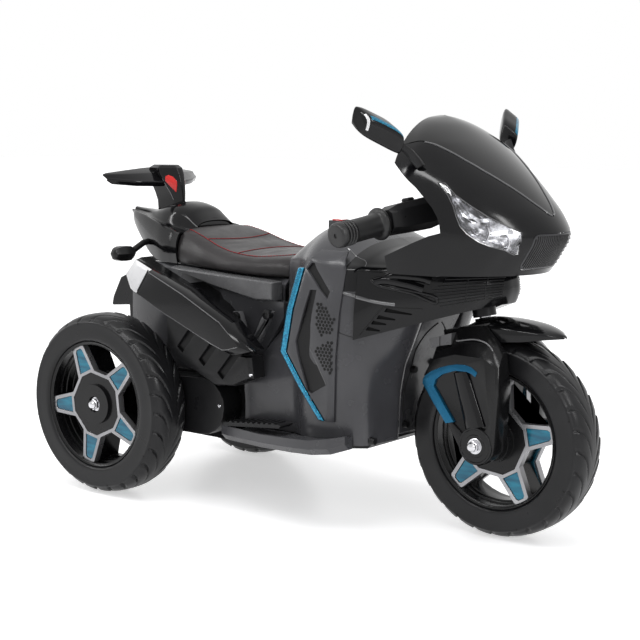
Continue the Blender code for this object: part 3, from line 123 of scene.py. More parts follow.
soft_box("overhead box", (0.2, -0.5, 2.6), (0, 0, 0.3), 1.9, 1.4, 24, mirrored=False)
soft_box("right side box", (-0.3, -2.9, 1.9), (0, 0, 0.3), 2.4, 1.2, 15, mirrored=False)
soft_box("front box", (2.6, -0.9, 0.6), (0.2, 0, 0.3), 1.4, 1.0, 15, mirrored=False)
soft_box("overhead strip", (0.1, -1.3, 2.2), (0, 0, 0.35), 2.4, 0.22, 26, lights=False)
soft_box("front strip", (2.4, -0.5, 1.7), (0.2, 0, 0.4), 0.24, 1.6, 22, lights=False)
soft_box("rear strip", (-2.2, -1.3, 1.5), (-0.1, 0, 0.35), 0.20, 1.5, 14, lights=False)
sky = linked("top light", bpy.data.lights.new("top light", "SUN"))
sky.data.energy = SKY_POWER
sky.data.angle = math.radians(SKY_SPREAD)
sky.visible_glossy = False
sky.rotation_euler = [math.radians(degrees) for degrees in SKY_TURN]

# Floor
# A wide white sheet that the camera sees as white and that still takes the soft shadow.
FLOOR_REACH = 14.0
FLOOR_GLOW = 0.50
FLOOR_WHITE = (0.88, 0.88, 0.89, 1.0)
FLOOR_ROUGHNESS = 0.32
FLOOR_SHINE = 0.4
floor_mesh = bpy.data.meshes.new("floor")
corners = [(-FLOOR_REACH, -FLOOR_REACH), (FLOOR_REACH, -FLOOR_REACH), (FLOOR_REACH, FLOOR_REACH),
           (-FLOOR_REACH, FLOOR_REACH)]
floor_mesh.from_pydata([(x, y, 0) for x, y in corners], [], [(0, 1, 2, 3)])
paper = bpy.data.materials.new("white paper")
paper.use_nodes = True
sheet, wires = paper.node_tree.nodes, paper.node_tree.links
body = sheet["Principled BSDF"]
body.inputs["Base Color"].default_value = FLOOR_WHITE
body.inputs["Roughness"].default_value = FLOOR_ROUGHNESS
body.inputs["Specular IOR Level"].default_value = FLOOR_SHINE
glow = sheet.new("ShaderNodeEmission")
glow.inputs["Color"].default_value = WHITE
level = sheet.new("ShaderNodeMath")
level.operation = "MULTIPLY"
level.inputs[1].default_value = FLOOR_GLOW
wires.new(seen_directly(sheet, wires), level.inputs[0])
wires.new(level.outputs[0], glow.inputs["Strength"])
both = sheet.new("ShaderNodeAddShader")
wires.new(body.outputs[0], both.inputs[0])
wires.new(glow.outputs[0], both.inputs[1])
wires.new(both.outputs[0], sheet["Material Output"].inputs["Surface"])
floor_mesh.materials.append(paper)
floor = linked("floor", floor_mesh)

# Tyres
# Blown black plastic rings with a plain flat side wall and a crown of overlapping curved lugs
# that start at each shoulder, moulded in one with the tread.
RIGHT = -1
LEFT = 1
SIDES = (("right", RIGHT), ("left", LEFT))
REAR_AXLE_X = -0.3275
FRONT_AXLE_X = 0.3275
WHEEL_HEIGHT = 0.150
REAR_OFFSET = 0.190
CLOUD_RANGE = (0.35, 0.68)
GLOSS_RANGE = (0.3, 0.7)
FINER_CLOUD = 3.5
GRAIN_STRENGTH = 0.5
COAT_ROUGHNESS = 0.06


def finish(name, colour, patch, roughness, spread, grain, depth, metallic=0.0, coat=0.0, stretch=(1, 1, 1),
           patch_scale=9.0, shine=0.24):
    """Moulded or painted surface: cloudy colour, uneven gloss and a fine raised grain."""
    mat = bpy.data.materials.new(name)
    mat.use_nodes = True
    nodes, links = mat.node_tree.nodes, mat.node_tree.links
    shader = nodes["Principled BSDF"]
    shader.inputs["Metallic"].default_value = metallic
    shader.inputs["Specular IOR Level"].default_value = shine
    shader.inputs["Coat Weight"].default_value = coat
    shader.inputs["Coat Roughness"].default_value = COAT_ROUGHNESS
    place = nodes.new("ShaderNodeTexCoord")
    turn = nodes.new("ShaderNodeMapping")
    turn.inputs["Scale"].default_value = stretch
    links.new(place.outputs["Object"], turn.inputs["Vector"])
    clouds = []
    for scale, detail in ((patch_scale, 4.0), (FINER_CLOUD * patch_scale, 3.0), (grain, 2.0)):
        cloud = nodes.new("ShaderNodeTexNoise")
        cloud.inputs["Scale"].default_value = scale
        cloud.inputs["Detail"].default_value = detail
        links.new(turn.outputs[0], cloud.inputs["Vector"])
        clouds.append(cloud.outputs["Fac"])
    blend = nodes.new("ShaderNodeValToRGB")
    for stop, position, shade in zip(blend.color_ramp.elements, CLOUD_RANGE, (colour, patch)):
        stop.position = position
        stop.color = (*shade, 1.0)
    links.new(clouds[0], blend.inputs["Fac"])
    links.new(blend.outputs["Color"], shader.inputs["Base Color"])
    uneven = nodes.new("ShaderNodeMapRange")
    uneven.inputs["From Min"].default_value, uneven.inputs["From Max"].default_value = GLOSS_RANGE
    uneven.inputs["To Min"].default_value = roughness - spread
    uneven.inputs["To Max"].default_value = roughness + spread
    links.new(clouds[1], uneven.inputs["Value"])
    links.new(uneven.outputs[0], shader.inputs["Roughness"])
    raised = nodes.new("ShaderNodeBump")
    raised.inputs["Strength"].default_value = GRAIN_STRENGTH
    raised.inputs["Distance"].default_value = depth
    links.new(clouds[2], raised.inputs["Height"])
    links.new(raised.outputs[0], shader.inputs["Normal"])
    return mat


def mesh_of(name, bm):
    """Mesh from a bmesh, which is freed."""
    mesh = bpy.data.meshes.new(name)
    bm.to_mesh(mesh)
    bm.free()
    return mesh


def kept(name, mesh, body, stands_for):
    """New piece that rides on a body and the nodes that it stands for."""
    piece = linked(name, mesh)
    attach(piece, body)
    if stands_for:
        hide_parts(*stands_for)
    return piece


def put(name, bm, mat, body, stands_for=(), sharp_deg=34):
    """New piece from a bmesh in the row frame."""
    mesh = mesh_of(name, bm)
    mesh.shade_smooth()
    mesh.set_sharp_from_angle(angle=math.radians(sharp_deg))
    mesh.materials.append(mat)
    return kept(name, mesh, body, stands_for)


def skin(bm, rows, ring=True, skipped=()):
    """Faces between neighbouring rows of vertices; in a ring each row also closes on itself."""
    for low, high in zip(rows, rows[1:]):
        for i in range(len(low) if ring else len(low) - 1):
            j = (i + 1) % len(low)
            if i not in skipped:
                bm.faces.new((low[i], low[j], high[j], high[i]))


def lathe(profile, steps, centre, side=LEFT, axis="Y"):
    """Closed ring of (radius, along) points turned about a line through the centre."""
    bm = bmesh.new()
    rows = []
    for k in range(steps):
        c, s = math.cos(2 * math.pi * k / steps), math.sin(2 * math.pi * k / steps)
        row = []
        for radius, along in profile:
            across = (radius * c, side * along, radius * s) if axis == "Y" else (radius * c,
                                                                                 radius * s, along)
            row.append(bm.verts.new(Vector(centre) + Vector(across)))
        rows.append(row)
    following = profile[1:] + profile[:1]
    on_axis = [i for i, (a, b) in enumerate(zip(profile, following)) if a[0] <= 0 and b[0] <= 0]
    skin(bm, rows + rows[:1], skipped=on_axis)
    bmesh.ops.remove_doubles(bm, verts=bm.verts, dist=1e-7)
    bmesh.ops.recalc_face_normals(bm, faces=bm.faces)
    return bm


def along_line(points, share):
    """Point at a share of a smooth curve through the points."""
    place = share * (len(points) - 1)
    i = min(int(place), len(points) - 2)
    t = place - i
    a, b = points[max(i - 1, 0)], points[i]
    c, d = points[i + 1], points[min(i + 2, len(points) - 1)]
    return tuple(
        0.5 * (2 * q + (r - p) * t + (2 * p - 5 * q + 4 * r - s) * t * t + (3 * q - p - 3 * r + s) * t ** 3)
        for p, q, r, s in zip(a, b, c, d))


tyre_black = finish("tyre plastic", (0.006, 0.006, 0.0066), (0.010, 0.010, 0.011), 0.34, 0.07, 900, 0.00010,
                    shine=0.26)
LUGS = 28
LUG_DEPTH = 0.0030
LUG_SWEEP = 1.9
LEFT_SHIFT = 0.5
CUT_PHASE = 0.10
CUT_WIDTH = 0.075
SWELL = 0.45
ROUND_STEPS = 448
CROWN_STEPS = 34
WALL_PROFILE = [(0.1058, 0.0330), (0.1062, 0.0352), (0.1078, 0.0375), (0.1100, 0.0383), (0.1140, 0.0385),
                (0.1240, 0.0385), (0.1340, 0.0385), (0.1355, 0.0387), (0.1368, 0.0387), (0.1378, 0.0381),
                (0.1390, 0.0371)]
CROWN_PROFILE = [(0.1405, 0.0352), (0.1440, 0.0318), (0.1468, 0.0270), (0.1486, 0.0210), (0.1496, 0.0140),
                 (0.1500, 0.0060), (0.1500, 0.0)]


def lug_height(turn, across, side):
    """Fall of the tread at a share of the turn and of the half width, 0 in the middle, 1 at the shoulder."""
    sweep = LUG_SWEEP * (1 - across) ** 2 + (LEFT_SHIFT if side > 0 else 0.0)
    phase = (turn * LUGS + sweep) % 1.0
    cut = math.exp(-((phase - CUT_PHASE) / CUT_WIDTH) ** 2)
    swell = SWELL * (1 - phase) ** 2
    reach = min(1.0, max(0.0, (across - 0.10) / 0.45)) * min(1.0, max(0.0, (1.08 - across) / 0.12))
    return LUG_DEPTH * reach * (cut + swell)


def tyre(name, body, centre, stands_for):
    bm = bmesh.new()
    crown = [along_line(CROWN_PROFILE, k / CROWN_STEPS) for k in range(CROWN_STEPS + 1)]
    half = [(r, t, 0.0) for r, t in WALL_PROFILE]
    half += [(r, t, t / CROWN_PROFILE[0][1]) for r, t in crown]
    profile = [(r, t, share, 1) for r, t, share in half]
    profile += [(r, -t, share, -1) for r, t, share in reversed(half[:-1])]
    rows = []
    for k in range(ROUND_STEPS):
        turn = k / ROUND_STEPS
        c, s = math.cos(2 * math.pi * turn), math.sin(2 * math.pi * turn)
        row = []
        for radius, along, share, side in profile:
            radius -= lug_height(turn, share, side) if share else 0.0
            row.append(bm.verts.new((centre[0] + radius * c, centre[1] + along, centre[2] + radius * s)))
        rows.append(row)
    skin(bm, rows + rows[:1])
    bmesh.ops.recalc_face_normals(bm, faces=bm.faces)
    put(name, bm, tyre_black, body, (stands_for,), 50)


rear_wheels = [(word, f"rear_wheel_{word}", (REAR_AXLE_X, side * REAR_OFFSET, WHEEL_HEIGHT), side)
               for word, side in SIDES]
front_centre = (FRONT_AXLE_X, 0.0, WHEEL_HEIGHT)
for word, body, centre, side in rear_wheels:
    tyre(f"rear_tread_{word}", body, centre, f"rear_tyre_{word}")
tyre("front_tread", "front_wheel", front_centre, "front_tyre")

# Moulding notches
# Small dark nicks where the tyre's blow mould was vented, eight on each side wall, just inside
# the tread. They are shallow and sit level with the plastic, and their dark colour is painted shade.
NOTCHES = 8
NOTCH_RADIUS = 0.1362
TYRE_HALF = 0.0385
REAR_FIRST = 14
FRONT_FIRST = 20


def tree_with(name, numbers):
    """Empty geometry tree with one mesh in and out, named number inputs and a material input."""
    tree = bpy.data.node_groups.new(name, "GeometryNodeTree")
    tree.interface.new_socket("Geometry", in_out="INPUT", socket_type="NodeSocketGeometry")
    for label, value in numbers.items():
        socket = tree.interface.new_socket(label, in_out="INPUT", socket_type="NodeSocketFloat")
        socket.default_value = value
    tree.interface.new_socket("Material", in_out="INPUT", socket_type="NodeSocketMaterial")
    tree.interface.new_socket("Geometry", in_out="OUTPUT", socket_type="NodeSocketGeometry")
    return tree, tree.nodes.new("NodeGroupInput"), tree.nodes.new("NodeGroupOutput")


def node(tree, kind, links=None, **settings):
    """New node with its settings and its input links."""
    made = tree.nodes.new(kind)
    for key, value in settings.items():
        setattr(made, key, value)
    for key, source in (links or {}).items():
        if hasattr(source, "is_output"):
            tree.links.new(source, made.inputs[key])
        else:
            made.inputs[key].default_value = source
    return made


def handed_out(tree, given, made, geometry):
    """End of a tree: everything made real, coloured and handed out."""
    solid = node(tree, "GeometryNodeRealizeInstances", {"Geometry": geometry})
    coloured = node(tree, "GeometryNodeSetMaterial", {
        "Geometry": solid.outputs["Geometry"], "Material": given.outputs["Material"]})
    tree.links.new(coloured.outputs["Geometry"], made.inputs["Geometry"])
    return tree


def copies_tree(name, kind, shape, numbers):
    """Tree that sets one shape on each point, its own Z along the point's facing."""
    tree, given, made = tree_with(name, numbers)
    settings = {key: given.outputs[value] if value in numbers else value for key, value in shape.items()}
    one = node(tree, kind, settings)
    direction = node(tree, "GeometryNodeInputNamedAttribute", {"Name": "facing"}, data_type="FLOAT_VECTOR")
    turn = node(tree, "FunctionNodeAlignRotationToVector",
                {"Vector": direction.outputs["Attribute"]}, axis="Z")
    copies = node(tree, "GeometryNodeInstanceOnPoints", {
        "Points": given.outputs["Geometry"], "Instance": one.outputs["Mesh"],
        "Rotation": turn.outputs["Rotation"]})
    return handed_out(tree, given, made, copies.outputs["Instances"])


def settled(holder):
    """The plain mesh that an object's modifiers give."""
    graph = bpy.context.evaluated_depsgraph_get()
    return bpy.data.meshes.new_from_object(holder.evaluated_get(graph))


def run_tree(name, seeds, tree, values):
    """Plain mesh that a geometry tree makes from a seed mesh, with its inputs set first."""
    holder = linked(f"{name}_seed", seeds)
    step = holder.modifiers.new("grow", "NODES")
    step.node_group = tree
    sockets = {item.name: item.identifier for item in tree.interface.items_tree if item.in_out == "INPUT"}
    for label, value in values.items():
        step[sockets[label]] = value
    mesh = settled(holder)
    bpy.data.objects.remove(holder)
    return mesh


def grown(name, points, tree, values, body):
    """Run a geometry tree on points with facings, and keep the result as a plain piece."""
    seeds = bpy.data.meshes.new(f"{name}_points")
    seeds.from_pydata([place for place, facing in points], [], [])
    facing = seeds.attributes.new("facing", "FLOAT_VECTOR", "POINT")
    for k, (place, direction) in enumerate(points):
        facing.data[k].vector = direction
    mesh = run_tree(name, seeds, tree, values)
    mesh.name = name
    mesh.shade_smooth()
    mesh.set_sharp_from_angle(angle=math.radians(34))
    return kept(name, mesh, body, ())


notch_tree = copies_tree("moulding notch", "GeometryNodeMeshCone",
                         {"Vertices": 10, "Radius Top": 0.0008, "Radius Bottom": "Radius", "Depth": "Depth"},
                         {"Radius": 0.0015, "Depth": 0.0008})
# Near-black matte colour that is painted shade: it darkens the tyre nicks, the shield's perforations, the
# chin's slots and the seams.
painted_shade_black = finish("painted shade", (0.004, 0.004, 0.004), (0.007, 0.007, 0.007), 0.7, 0.05, 700, 0.0001)


def notches(name, body, centre, first_deg):
    points = []
    for side in (RIGHT, LEFT):
        for k in range(NOTCHES):
            angle = math.radians(first_deg + 360 * k / NOTCHES)
            place = (centre[0] + NOTCH_RADIUS * math.cos(angle), centre[1] + side * TYRE_HALF,
                     centre[2] + NOTCH_RADIUS * math.sin(angle))
            points.append((place, (0, side, 0)))
    grown(name, points, notch_tree, {"Radius": 0.0019, "Depth": 0.0009, "Material": painted_shade_black}, body)


for word, body, centre, side in rear_wheels:
    notches(f"rear_tyre_notches_{word}", body, centre, REAR_FIRST)
notches("front_tyre_notches", "front_wheel", front_centre, FRONT_FIRST)

# Wheel rims
# Black gloss nylon: a barrel with stepped inner rings, five spokes and a five-sided hub plate.
# The plain solids get their moulding radii here, and the step rings are turned pieces.
EDGE_DEGREES = 30


def merged_solid(node_name, name):
    """Copy of a CAD solid's mesh with its flat faces joined."""
    bm = bmesh.new()
    bm.from_mesh(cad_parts[node_name].data)
    bmesh.ops.remove_doubles(bm, verts=bm.verts, dist=1e-5)
    bmesh.ops.dissolve_limit(bm, angle_limit=math.radians(1), verts=bm.verts, edges=bm.edges)
    return mesh_of(name, bm)


def softened(node_name, name, mat, body, width, segments=2):
    """A CAD solid with its flat faces joined and its edges rounded, in place of the node."""
    mesh = merged_solid(node_name, name)
    mesh.shade_smooth()
    holder = linked(f"{name}_plain", mesh)
    rounding = holder.modifiers.new("rounding", "BEVEL")
    rounding.width = width
    rounding.segments = segments
    rounding.limit_method = "ANGLE"
    rounding.angle_limit = math.radians(EDGE_DEGREES)
    shading = holder.modifiers.new("shading", "WEIGHTED_NORMAL")
    shading.weight = 60
    rounded = settled(holder)
    bpy.data.objects.remove(holder)
    rounded.name = name
    rounded.materials.clear()
    rounded.materials.append(mat)
    kept(name, rounded, body, (node_name,))


rim_black = finish("rim nylon", (0.004, 0.004, 0.0045), (0.0075, 0.0075, 0.008), 0.24, 0.06, 500, 0.00006)
RIM_ROUND = 0.0009
RIM_TURN = 96
RIM_STEPS = [(0.1002, 0.0165), (0.0976, 0.0158), (0.0972, 0.0075), (0.0954, 0.0068), (0.0950, -0.0050),
             (0.0932, -0.0057), (0.0928, -0.0180), (0.0945, -0.0190), (0.0950, -0.0300), (0.1002, -0.0320)]
FRONT_RIM_STEPS = [(0.1002, 0.0165), (0.0976, 0.0158), (0.0972, 0.0095), (0.0952, 0.0088), (0.0948, 0.0),
                   (0.0952, -0.0088), (0.0972, -0.0095), (0.0976, -0.0158), (0.1002, -0.0165)]
LIP_PROFILE = [(0.1054, 0.0325), (0.1054, 0.0345), (0.1046, 0.0352), (0.1020, 0.0344), (0.1004, 0.0325)]


def turned_rim(name, profile, centre, side, body):
    put(name, lathe(profile, RIM_TURN, centre, side), rim_black, body)


for word, body, centre, side in rear_wheels:
    softened(f"rear_rim_{word}", f"rear_wheel_rim_{word}", rim_black, body, RIM_ROUND)
    turned_rim(f"rear_rim_steps_{word}", RIM_STEPS, centre, side, body)
    turned_rim(f"rear_rim_lip_{word}", LIP_PROFILE, centre, side, body)
softened("front_rim", "front_wheel_rim", rim_black, "front_wheel", RIM_ROUND)
turned_rim("front_rim_steps", FRONT_RIM_STEPS, front_centre, LEFT, "front_wheel")
for word, side in SIDES:
    turned_rim(f"front_rim_lip_{word}", LIP_PROFILE, front_centre, side, "front_wheel")

# Wheel stars
# Silver-painted star trims clipped on the spokes, with blue see-through inserts in their windows.
# The inserts are moulded with fine ribs behind a clear face.
STAR_ROUND = 0.0021
INSERT_ROUND = 0.0007
silver = finish("silver paint", (0.25, 0.25, 0.26), (0.37, 0.37, 0.38), 0.30, 0.05, 1500, 0.00004, 0.75)
blue_clear = finish("blue insert plastic", (0.0005, 0.070, 0.125), (0.002, 0.165, 0.250), 0.16, 0.04, 420,
                    0.00012, 0.40, 0.5, (1, 1, 6), 26.0)
for word, side in SIDES:
    for end, body in (("rear", f"rear_wheel_{word}"), ("front", "front_wheel")):
        softened(f"{end}_star_{word}", f"{end}_star_trim_{word}", silver, body, STAR_ROUND, 3)
        softened(f"{end}_inserts_{word}", f"{end}_blue_inserts_{word}", blue_clear, body, INSERT_ROUND)

# Axles and nuts
# Zinc-plated steel bars that run through both rear wheels and through the front fork, with a
# plain washer, a split spring washer and a domed nut at each end.
zinc = finish("zinc plate", (0.50, 0.50, 0.52), (0.60, 0.60, 0.62), 0.22, 0.05, 1200, 0.00002, 1.0,
              patch_scale=20)
NUT_SIDES = 6
NUT_FOOT = 0.0026
NUT_LAYERS = ((0.0, 0.0086), (0.0005, 0.0093), (0.0050, 0.0093), (0.0056, 0.0086))
WASHERS = [(0.006, 0.0), (0.0115, 0.0), (0.0119, 0.0003), (0.0119, 0.0012), (0.0115, 0.0015),
           (0.0100, 0.0015), (0.0100, 0.0026), (0.0062, 0.0030)]
BAR_END = [(0.0074, 0.0082), (0.0070, 0.0105), (0.0052, 0.0128), (0.0025, 0.0138), (0.0, 0.0140)]


def domed_nut(bm, centre, side, base):
    """Six-sided nut with bevelled ends, its foot at a distance from the middle."""
    rings = []
    for rise, radius in NUT_LAYERS:
        ring = []
        for k in range(NUT_SIDES):
            angle = 2 * math.pi * (k + 0.5) / NUT_SIDES
            ring.append((centre[0] + radius * math.cos(angle), side * (base + rise),
                         centre[2] + radius * math.sin(angle)))
        rings.append([bm.verts.new(p) for p in ring])
    skin(bm, rings)
    bm.faces.new(rings[0])
    bm.faces.new(rings[-1])


def axle(name, node_name, body, x, seat):
    centre = (x, 0.0, WHEEL_HEIGHT)
    half = [(radius, seat + rise) for radius, rise in WASHERS + BAR_END]
    bm = lathe([(r, -t) for r, t in reversed(half)] + half, 40, centre)
    for side in (RIGHT, LEFT):
        domed_nut(bm, centre, side, seat + NUT_FOOT)
    bmesh.ops.recalc_face_normals(bm, faces=bm.faces)
    put(name, bm, zinc, body, (node_name,), 28)


axle("rear_axle_bar", "rear_axle", "trike_frame", REAR_AXLE_X, 0.2193)
axle("front_axle_bar", "front_axle", "steering", FRONT_AXLE_X, 0.0853)

# Chassis, battery and gearboxes
# The tray under the body and the bolted gearbox cases are satin black polypropylene.
# Inside, out of sight, lie the battery in its dull grey case and the two motors.
satin = finish("satin black plastic", (0.0065, 0.0065, 0.007), (0.011, 0.011, 0.012), 0.33, 0.07,
               520, 0.00012)
dull_grey = finish("battery case plastic", (0.070, 0.070, 0.078), (0.090, 0.090, 0.098), 0.5, 0.06, 400,
                   0.0001)
softened("chassis_tray", "chassis_tray_shell", satin, "trike_frame", 0.0025, 3)
softened("battery", "battery_box", dull_grey, "trike_frame", 0.0030, 3)
for word, side in SIDES:
    softened(f"gearbox_{word}", f"gearbox_case_{word}", satin, "trike_frame", 0.0016, 3)

# Bulkhead and steering column
# A moulded panel behind the front wheel carries the steering head; the plated stem turns in it
# on a blackened steel collar.
blackened = finish("blackened steel", (0.010, 0.010, 0.011), (0.018, 0.018, 0.019), 0.34, 0.05, 600, 0.00004,
                   0.5)
body_grey = finish("dark grey gloss plastic", (0.041, 0.041, 0.045), (0.058, 0.058, 0.063), 0.24, 0.05, 480,
                   0.00006, shine=0.35)
softened("front_bulkhead", "bulkhead_panel", body_grey, "trike_frame", 0.0012)
for name, plating in (("steering_stem", zinc), ("steering_collar", blackened)):
    softened(name, f"{name}_steel", plating, "steering", 0.0006)

# Body shells
# Two halves in glossy dark grey polypropylene that meet on the centre line, smooth over the tank
# and rounded at the front cheeks. Self-tapping screws hold them to the tray and the bulkhead.
BODY_LEVELS = [0.135, 0.170, 0.210, 0.250, 0.270, 0.300, 0.340, 0.370, 0.400]
BODY_FRONT = [(0.135, 0.1725), (0.200, 0.1745), (0.250, 0.1845), (0.300, 0.2045), (0.340, 0.2185),
              (0.400, 0.2345)]
BODY_WELL = [(0.135, 0.1615), (0.200, 0.1625), (0.250, 0.1715), (0.300, 0.1935), (0.340, 0.2135),
             (0.400, 0.2345)]
BODY_REAR = [(0.135, -0.0855), (0.210, -0.0835), (0.270, -0.0425), (0.300, -0.0240), (0.400, -0.0215)]
BODY_WIDTH = [(0.135, 0.147), (0.160, 0.150), (0.270, 0.157), (0.340, 0.155), (0.400, 0.146)]
WAIST_REAR = [(0.135, 0.122), (0.220, 0.124), (0.290, 0.108), (0.340, 0.097)]
WAIST_MIDDLE = [(0.135, 0.127), (0.220, 0.130), (0.290, 0.124), (0.400, 0.112)]
TANK_LINE = [(-0.0215, 0.417), (-0.0095, 0.434), (0.0085, 0.450), (0.0285, 0.460), (0.0575, 0.463),
             (0.0805, 0.461), (0.1025, 0.453), (0.1375, 0.436), (0.1725, 0.427), (0.2385, 0.424)]
TANK_DOME = [(0.30, 0.131), (0.55, 0.112), (0.76, 0.088), (0.90, 0.062), (0.975, 0.033), (1.0, 0.00015)]
CENTRE_GAP = 0.00015
BODY_WALL = 0.003
SWITCH_PLACE = (0.0325, -0.030)
BEZEL_FOOT = 0.4480
BEZEL_TOP = 0.4645
BODY_HEART = (0.0725, 0.04, 0.28)
CARVED_DEGREES = 40


def between(x, stations):
    """Value at x on straight runs through (x, value) stations."""
    if x <= stations[0][0]:
        return stations[0][1]
    for (x0, v0), (x1, v1) in zip(stations, stations[1:]):
        if x <= x1:
            return v0 + (v1 - v0) * (x - x0) / (x1 - x0)
    return stations[-1][1]


def refined(rows, across, along):
    """Grid of points made finer both ways along smooth curves."""
    steps = across * (len(rows[0]) - 1)
    wide = [[along_line(row, k / steps) for k in range(steps + 1)] for row in rows]
    steps = along * (len(rows) - 1)
    columns = [[along_line(column, k / steps) for k in range(steps + 1)] for column in zip(*wide)]
    return [list(row) for row in zip(*columns)]


def on_side(point, side):
    """A point given for the left side, on the side that is asked for."""
    x, y, z = point
    return (x, side * y, z)


def body_row(z):
    rear, front, well = between(z, BODY_REAR), between(z, BODY_FRONT), between(z, BODY_WELL)
    full, at_seat, at_middle = between(z, BODY_WIDTH), between(z, WAIST_REAR), between(z, WAIST_MIDDLE)
    plan = [(well, CENTRE_GAP), (well, 0.030), (well, 0.054), (front, 0.059), (front - 0.004, 0.095),
            (0.1655, full - 0.017), (0.1460, full - 0.0012), (0.1140, full), (0.0825, full),
            (0.0505, full - 0.006), (0.0185, at_middle), (rear + 0.012, at_seat), (rear, at_seat - 0.014),
            (rear, CENTRE_GAP)]
    return [(x, y, z) for x, y in plan]


def tank_row(share, width):
    base = body_row(BODY_LEVELS[-1])
    widest = max(y for x, y, z in base)
    return [(x, max(CENTRE_GAP, y * width / widest), z + share * (between(x, TANK_LINE) - z))
            for x, y, z in base]


def blank_from(name, bm):
    """Loose object for carving from a mesh."""
    return linked(f"{name}_blank", mesh_of(f"{name}_blank", bm))


def shell(name, rows, wall, inside):
    """Open grid of points made a closed shell with its wall towards the inside point."""
    bm = bmesh.new()
    skin(bm, [[bm.verts.new(p) for p in row] for row in rows], ring=False)
    bmesh.ops.remove_doubles(bm, verts=bm.verts, dist=2e-6)
    bmesh.ops.dissolve_degenerate(bm, edges=bm.edges, dist=1e-6)
    bm.normal_update()
    outward = sum(f.normal.dot(f.calc_center_median() - Vector(inside)) for f in bm.faces)
    if outward < 0:
        bmesh.ops.reverse_faces(bm, faces=bm.faces)
    holder = blank_from(name, bm)
    if wall:
        thick = holder.modifiers.new("wall", "SOLIDIFY")
        thick.thickness = wall
        thick.offset = -1.0
    return holder


def carved(name, holder, cuts, mat, body, stands_for=(), sharp_deg=32, rounding=0.0):
    """Apply cutting tools to a blank and keep the plain result as a piece."""
    tools = []
    for k, (operation, cutter) in enumerate(cuts):
        tool = blank_from(f"{name}_tool_{k}", cutter)
        tool.hide_render = True
        step = holder.modifiers.new(f"cut_{k}", "BOOLEAN")
        step.operation = operation
        step.solver = "EXACT"
        step.object = tool
        tools.append(tool)
    if rounding:
        edge = holder.modifiers.new("rounding", "BEVEL")
        edge.width = rounding
        edge.segments = 2
        edge.limit_method = "ANGLE"
        edge.angle_limit = math.radians(CARVED_DEGREES)
    mesh = settled(holder)
    for old in [holder] + tools:
        bpy.data.objects.remove(old)
    bm = bmesh.new()
    bm.from_mesh(mesh)
    bmesh.ops.remove_doubles(bm, verts=bm.verts, dist=1e-6)
    put(name, bm, mat, body, stands_for, sharp_deg)


def lofted(rings):
    """Closed rings of equal count joined into one closed mesh."""
    bm = bmesh.new()
    loops = [[bm.verts.new(p) for p in ring] for ring in rings]
    skin(bm, loops)
    bm.faces.new(loops[0])
    bm.faces.new(loops[-1])
    bmesh.ops.recalc_face_normals(bm, faces=bm.faces)
    return bm


def slab(outline, low, high, axes="xz"):
    """Flat outline given a length: x-z outlines run along y, x-y ones along z and y-z ones along x."""
    place = {"xz": lambda a, b, along: (a, along, b),
             "xy": lambda a, b, along: (a, b, along),
             "yz": lambda a, b, along: (along, a, b)}[axes]
    return lofted([[place(a, b, along) for a, b in outline] for along in (low, high)])


def brick(low, high):
    return slab([(low[0], low[2]), (high[0], low[2]), (high[0], high[2]), (low[0], high[2])], low[1], high[1])


body_rows = refined([body_row(z) for z in BODY_LEVELS] + [tank_row(*dome) for dome in TANK_DOME], 4, 4)
for word, side in SIDES:
    rows = [[on_side(p, side) for p in row] for row in body_rows]
    cuts = []
    if side == RIGHT:
        x, y = SWITCH_PLACE
        cuts.append(("UNION", brick((x - 0.014, y - 0.011, BEZEL_FOOT), (x + 0.014, y + 0.011, BEZEL_TOP))))
        cuts.append(("DIFFERENCE", brick((x - 0.0105, y - 0.0074, BEZEL_TOP - 0.0045),
                                         (x + 0.0105, y + 0.0074, BEZEL_TOP + 0.02))))
    blank = shell(f"body_{word}", rows, BODY_WALL, on_side(BODY_HEART, side))
    carved(f"body_half_{word}", blank, cuts, body_grey, "trike_frame",
           (f"body_shell_{word}",), 40)

line_tree, given, made = tree_with("moulded line", {"Radius": 0.0008, "Corners": 8})
path = node(line_tree, "GeometryNodeMeshToCurve", {"Mesh": given.outputs["Geometry"]})
ring = node(line_tree, "GeometryNodeCurvePrimitiveCircle", {
    "Resolution": given.outputs["Corners"], "Radius": given.outputs["Radius"]})
tube = node(line_tree, "GeometryNodeCurveToMesh", {
    "Curve": path.outputs["Curve"], "Profile Curve": ring.outputs["Curve"], "Fill Caps": True})
handed_out(line_tree, given, made, tube.outputs["Mesh"])


def lines(name, paths, radius, mat, body, corners=8):
    """Round bars along paths; a path whose ends meet is closed."""
    points, edges = [], []
    for route in paths:
        start = len(points)
        loop = (Vector(route[0]) - Vector(route[-1])).length < 1e-6
        route = route[:-1] if loop else route
        points += [tuple(p) for p in route]
        edges += [(start + i, start + i + 1) for i in range(len(route) - 1)]
        if loop:
            edges.append((len(points) - 1, start))
    mesh = bpy.data.meshes.new(f"{name}_path")
    mesh.from_pydata(points, edges, [])
    bm = bmesh.new()
    bm.from_mesh(run_tree(name, mesh, line_tree,
                          {"Radius": radius, "Corners": float(corners), "Material": mat}))
    bmesh.ops.recalc_face_normals(bm, faces=bm.faces)
    put(name, bm, mat, body)


def surface_of(piece):
    """A piece's surface, for setting things on it."""
    bm = bmesh.new()
    bm.from_mesh(piece.data)
    tree = BVHTree.FromBMesh(bm)
    bm.free()
    return tree


def onto(surface, route, side, out=0.0, steps=1):
    """Route of (x, z) laid on a surface from one side, on a smooth curve, standing out by a little."""
    count = steps * (len(route) - 1)
    laid = []
    for k in range(count + 1):
        x, z = along_line(route, k / count) if steps > 1 else route[k]
        place, normal, index, distance = surface.ray_cast(Vector((x, side * 0.4, z)), Vector((0, -side, 0)))
        if place:
            laid.append(tuple(place + normal * out))
    return laid


def joined_mesh(parts):
    """One mesh from several."""
    whole = bmesh.new()
    for part in parts:
        whole.from_mesh(mesh_of("part", part))
    return whole
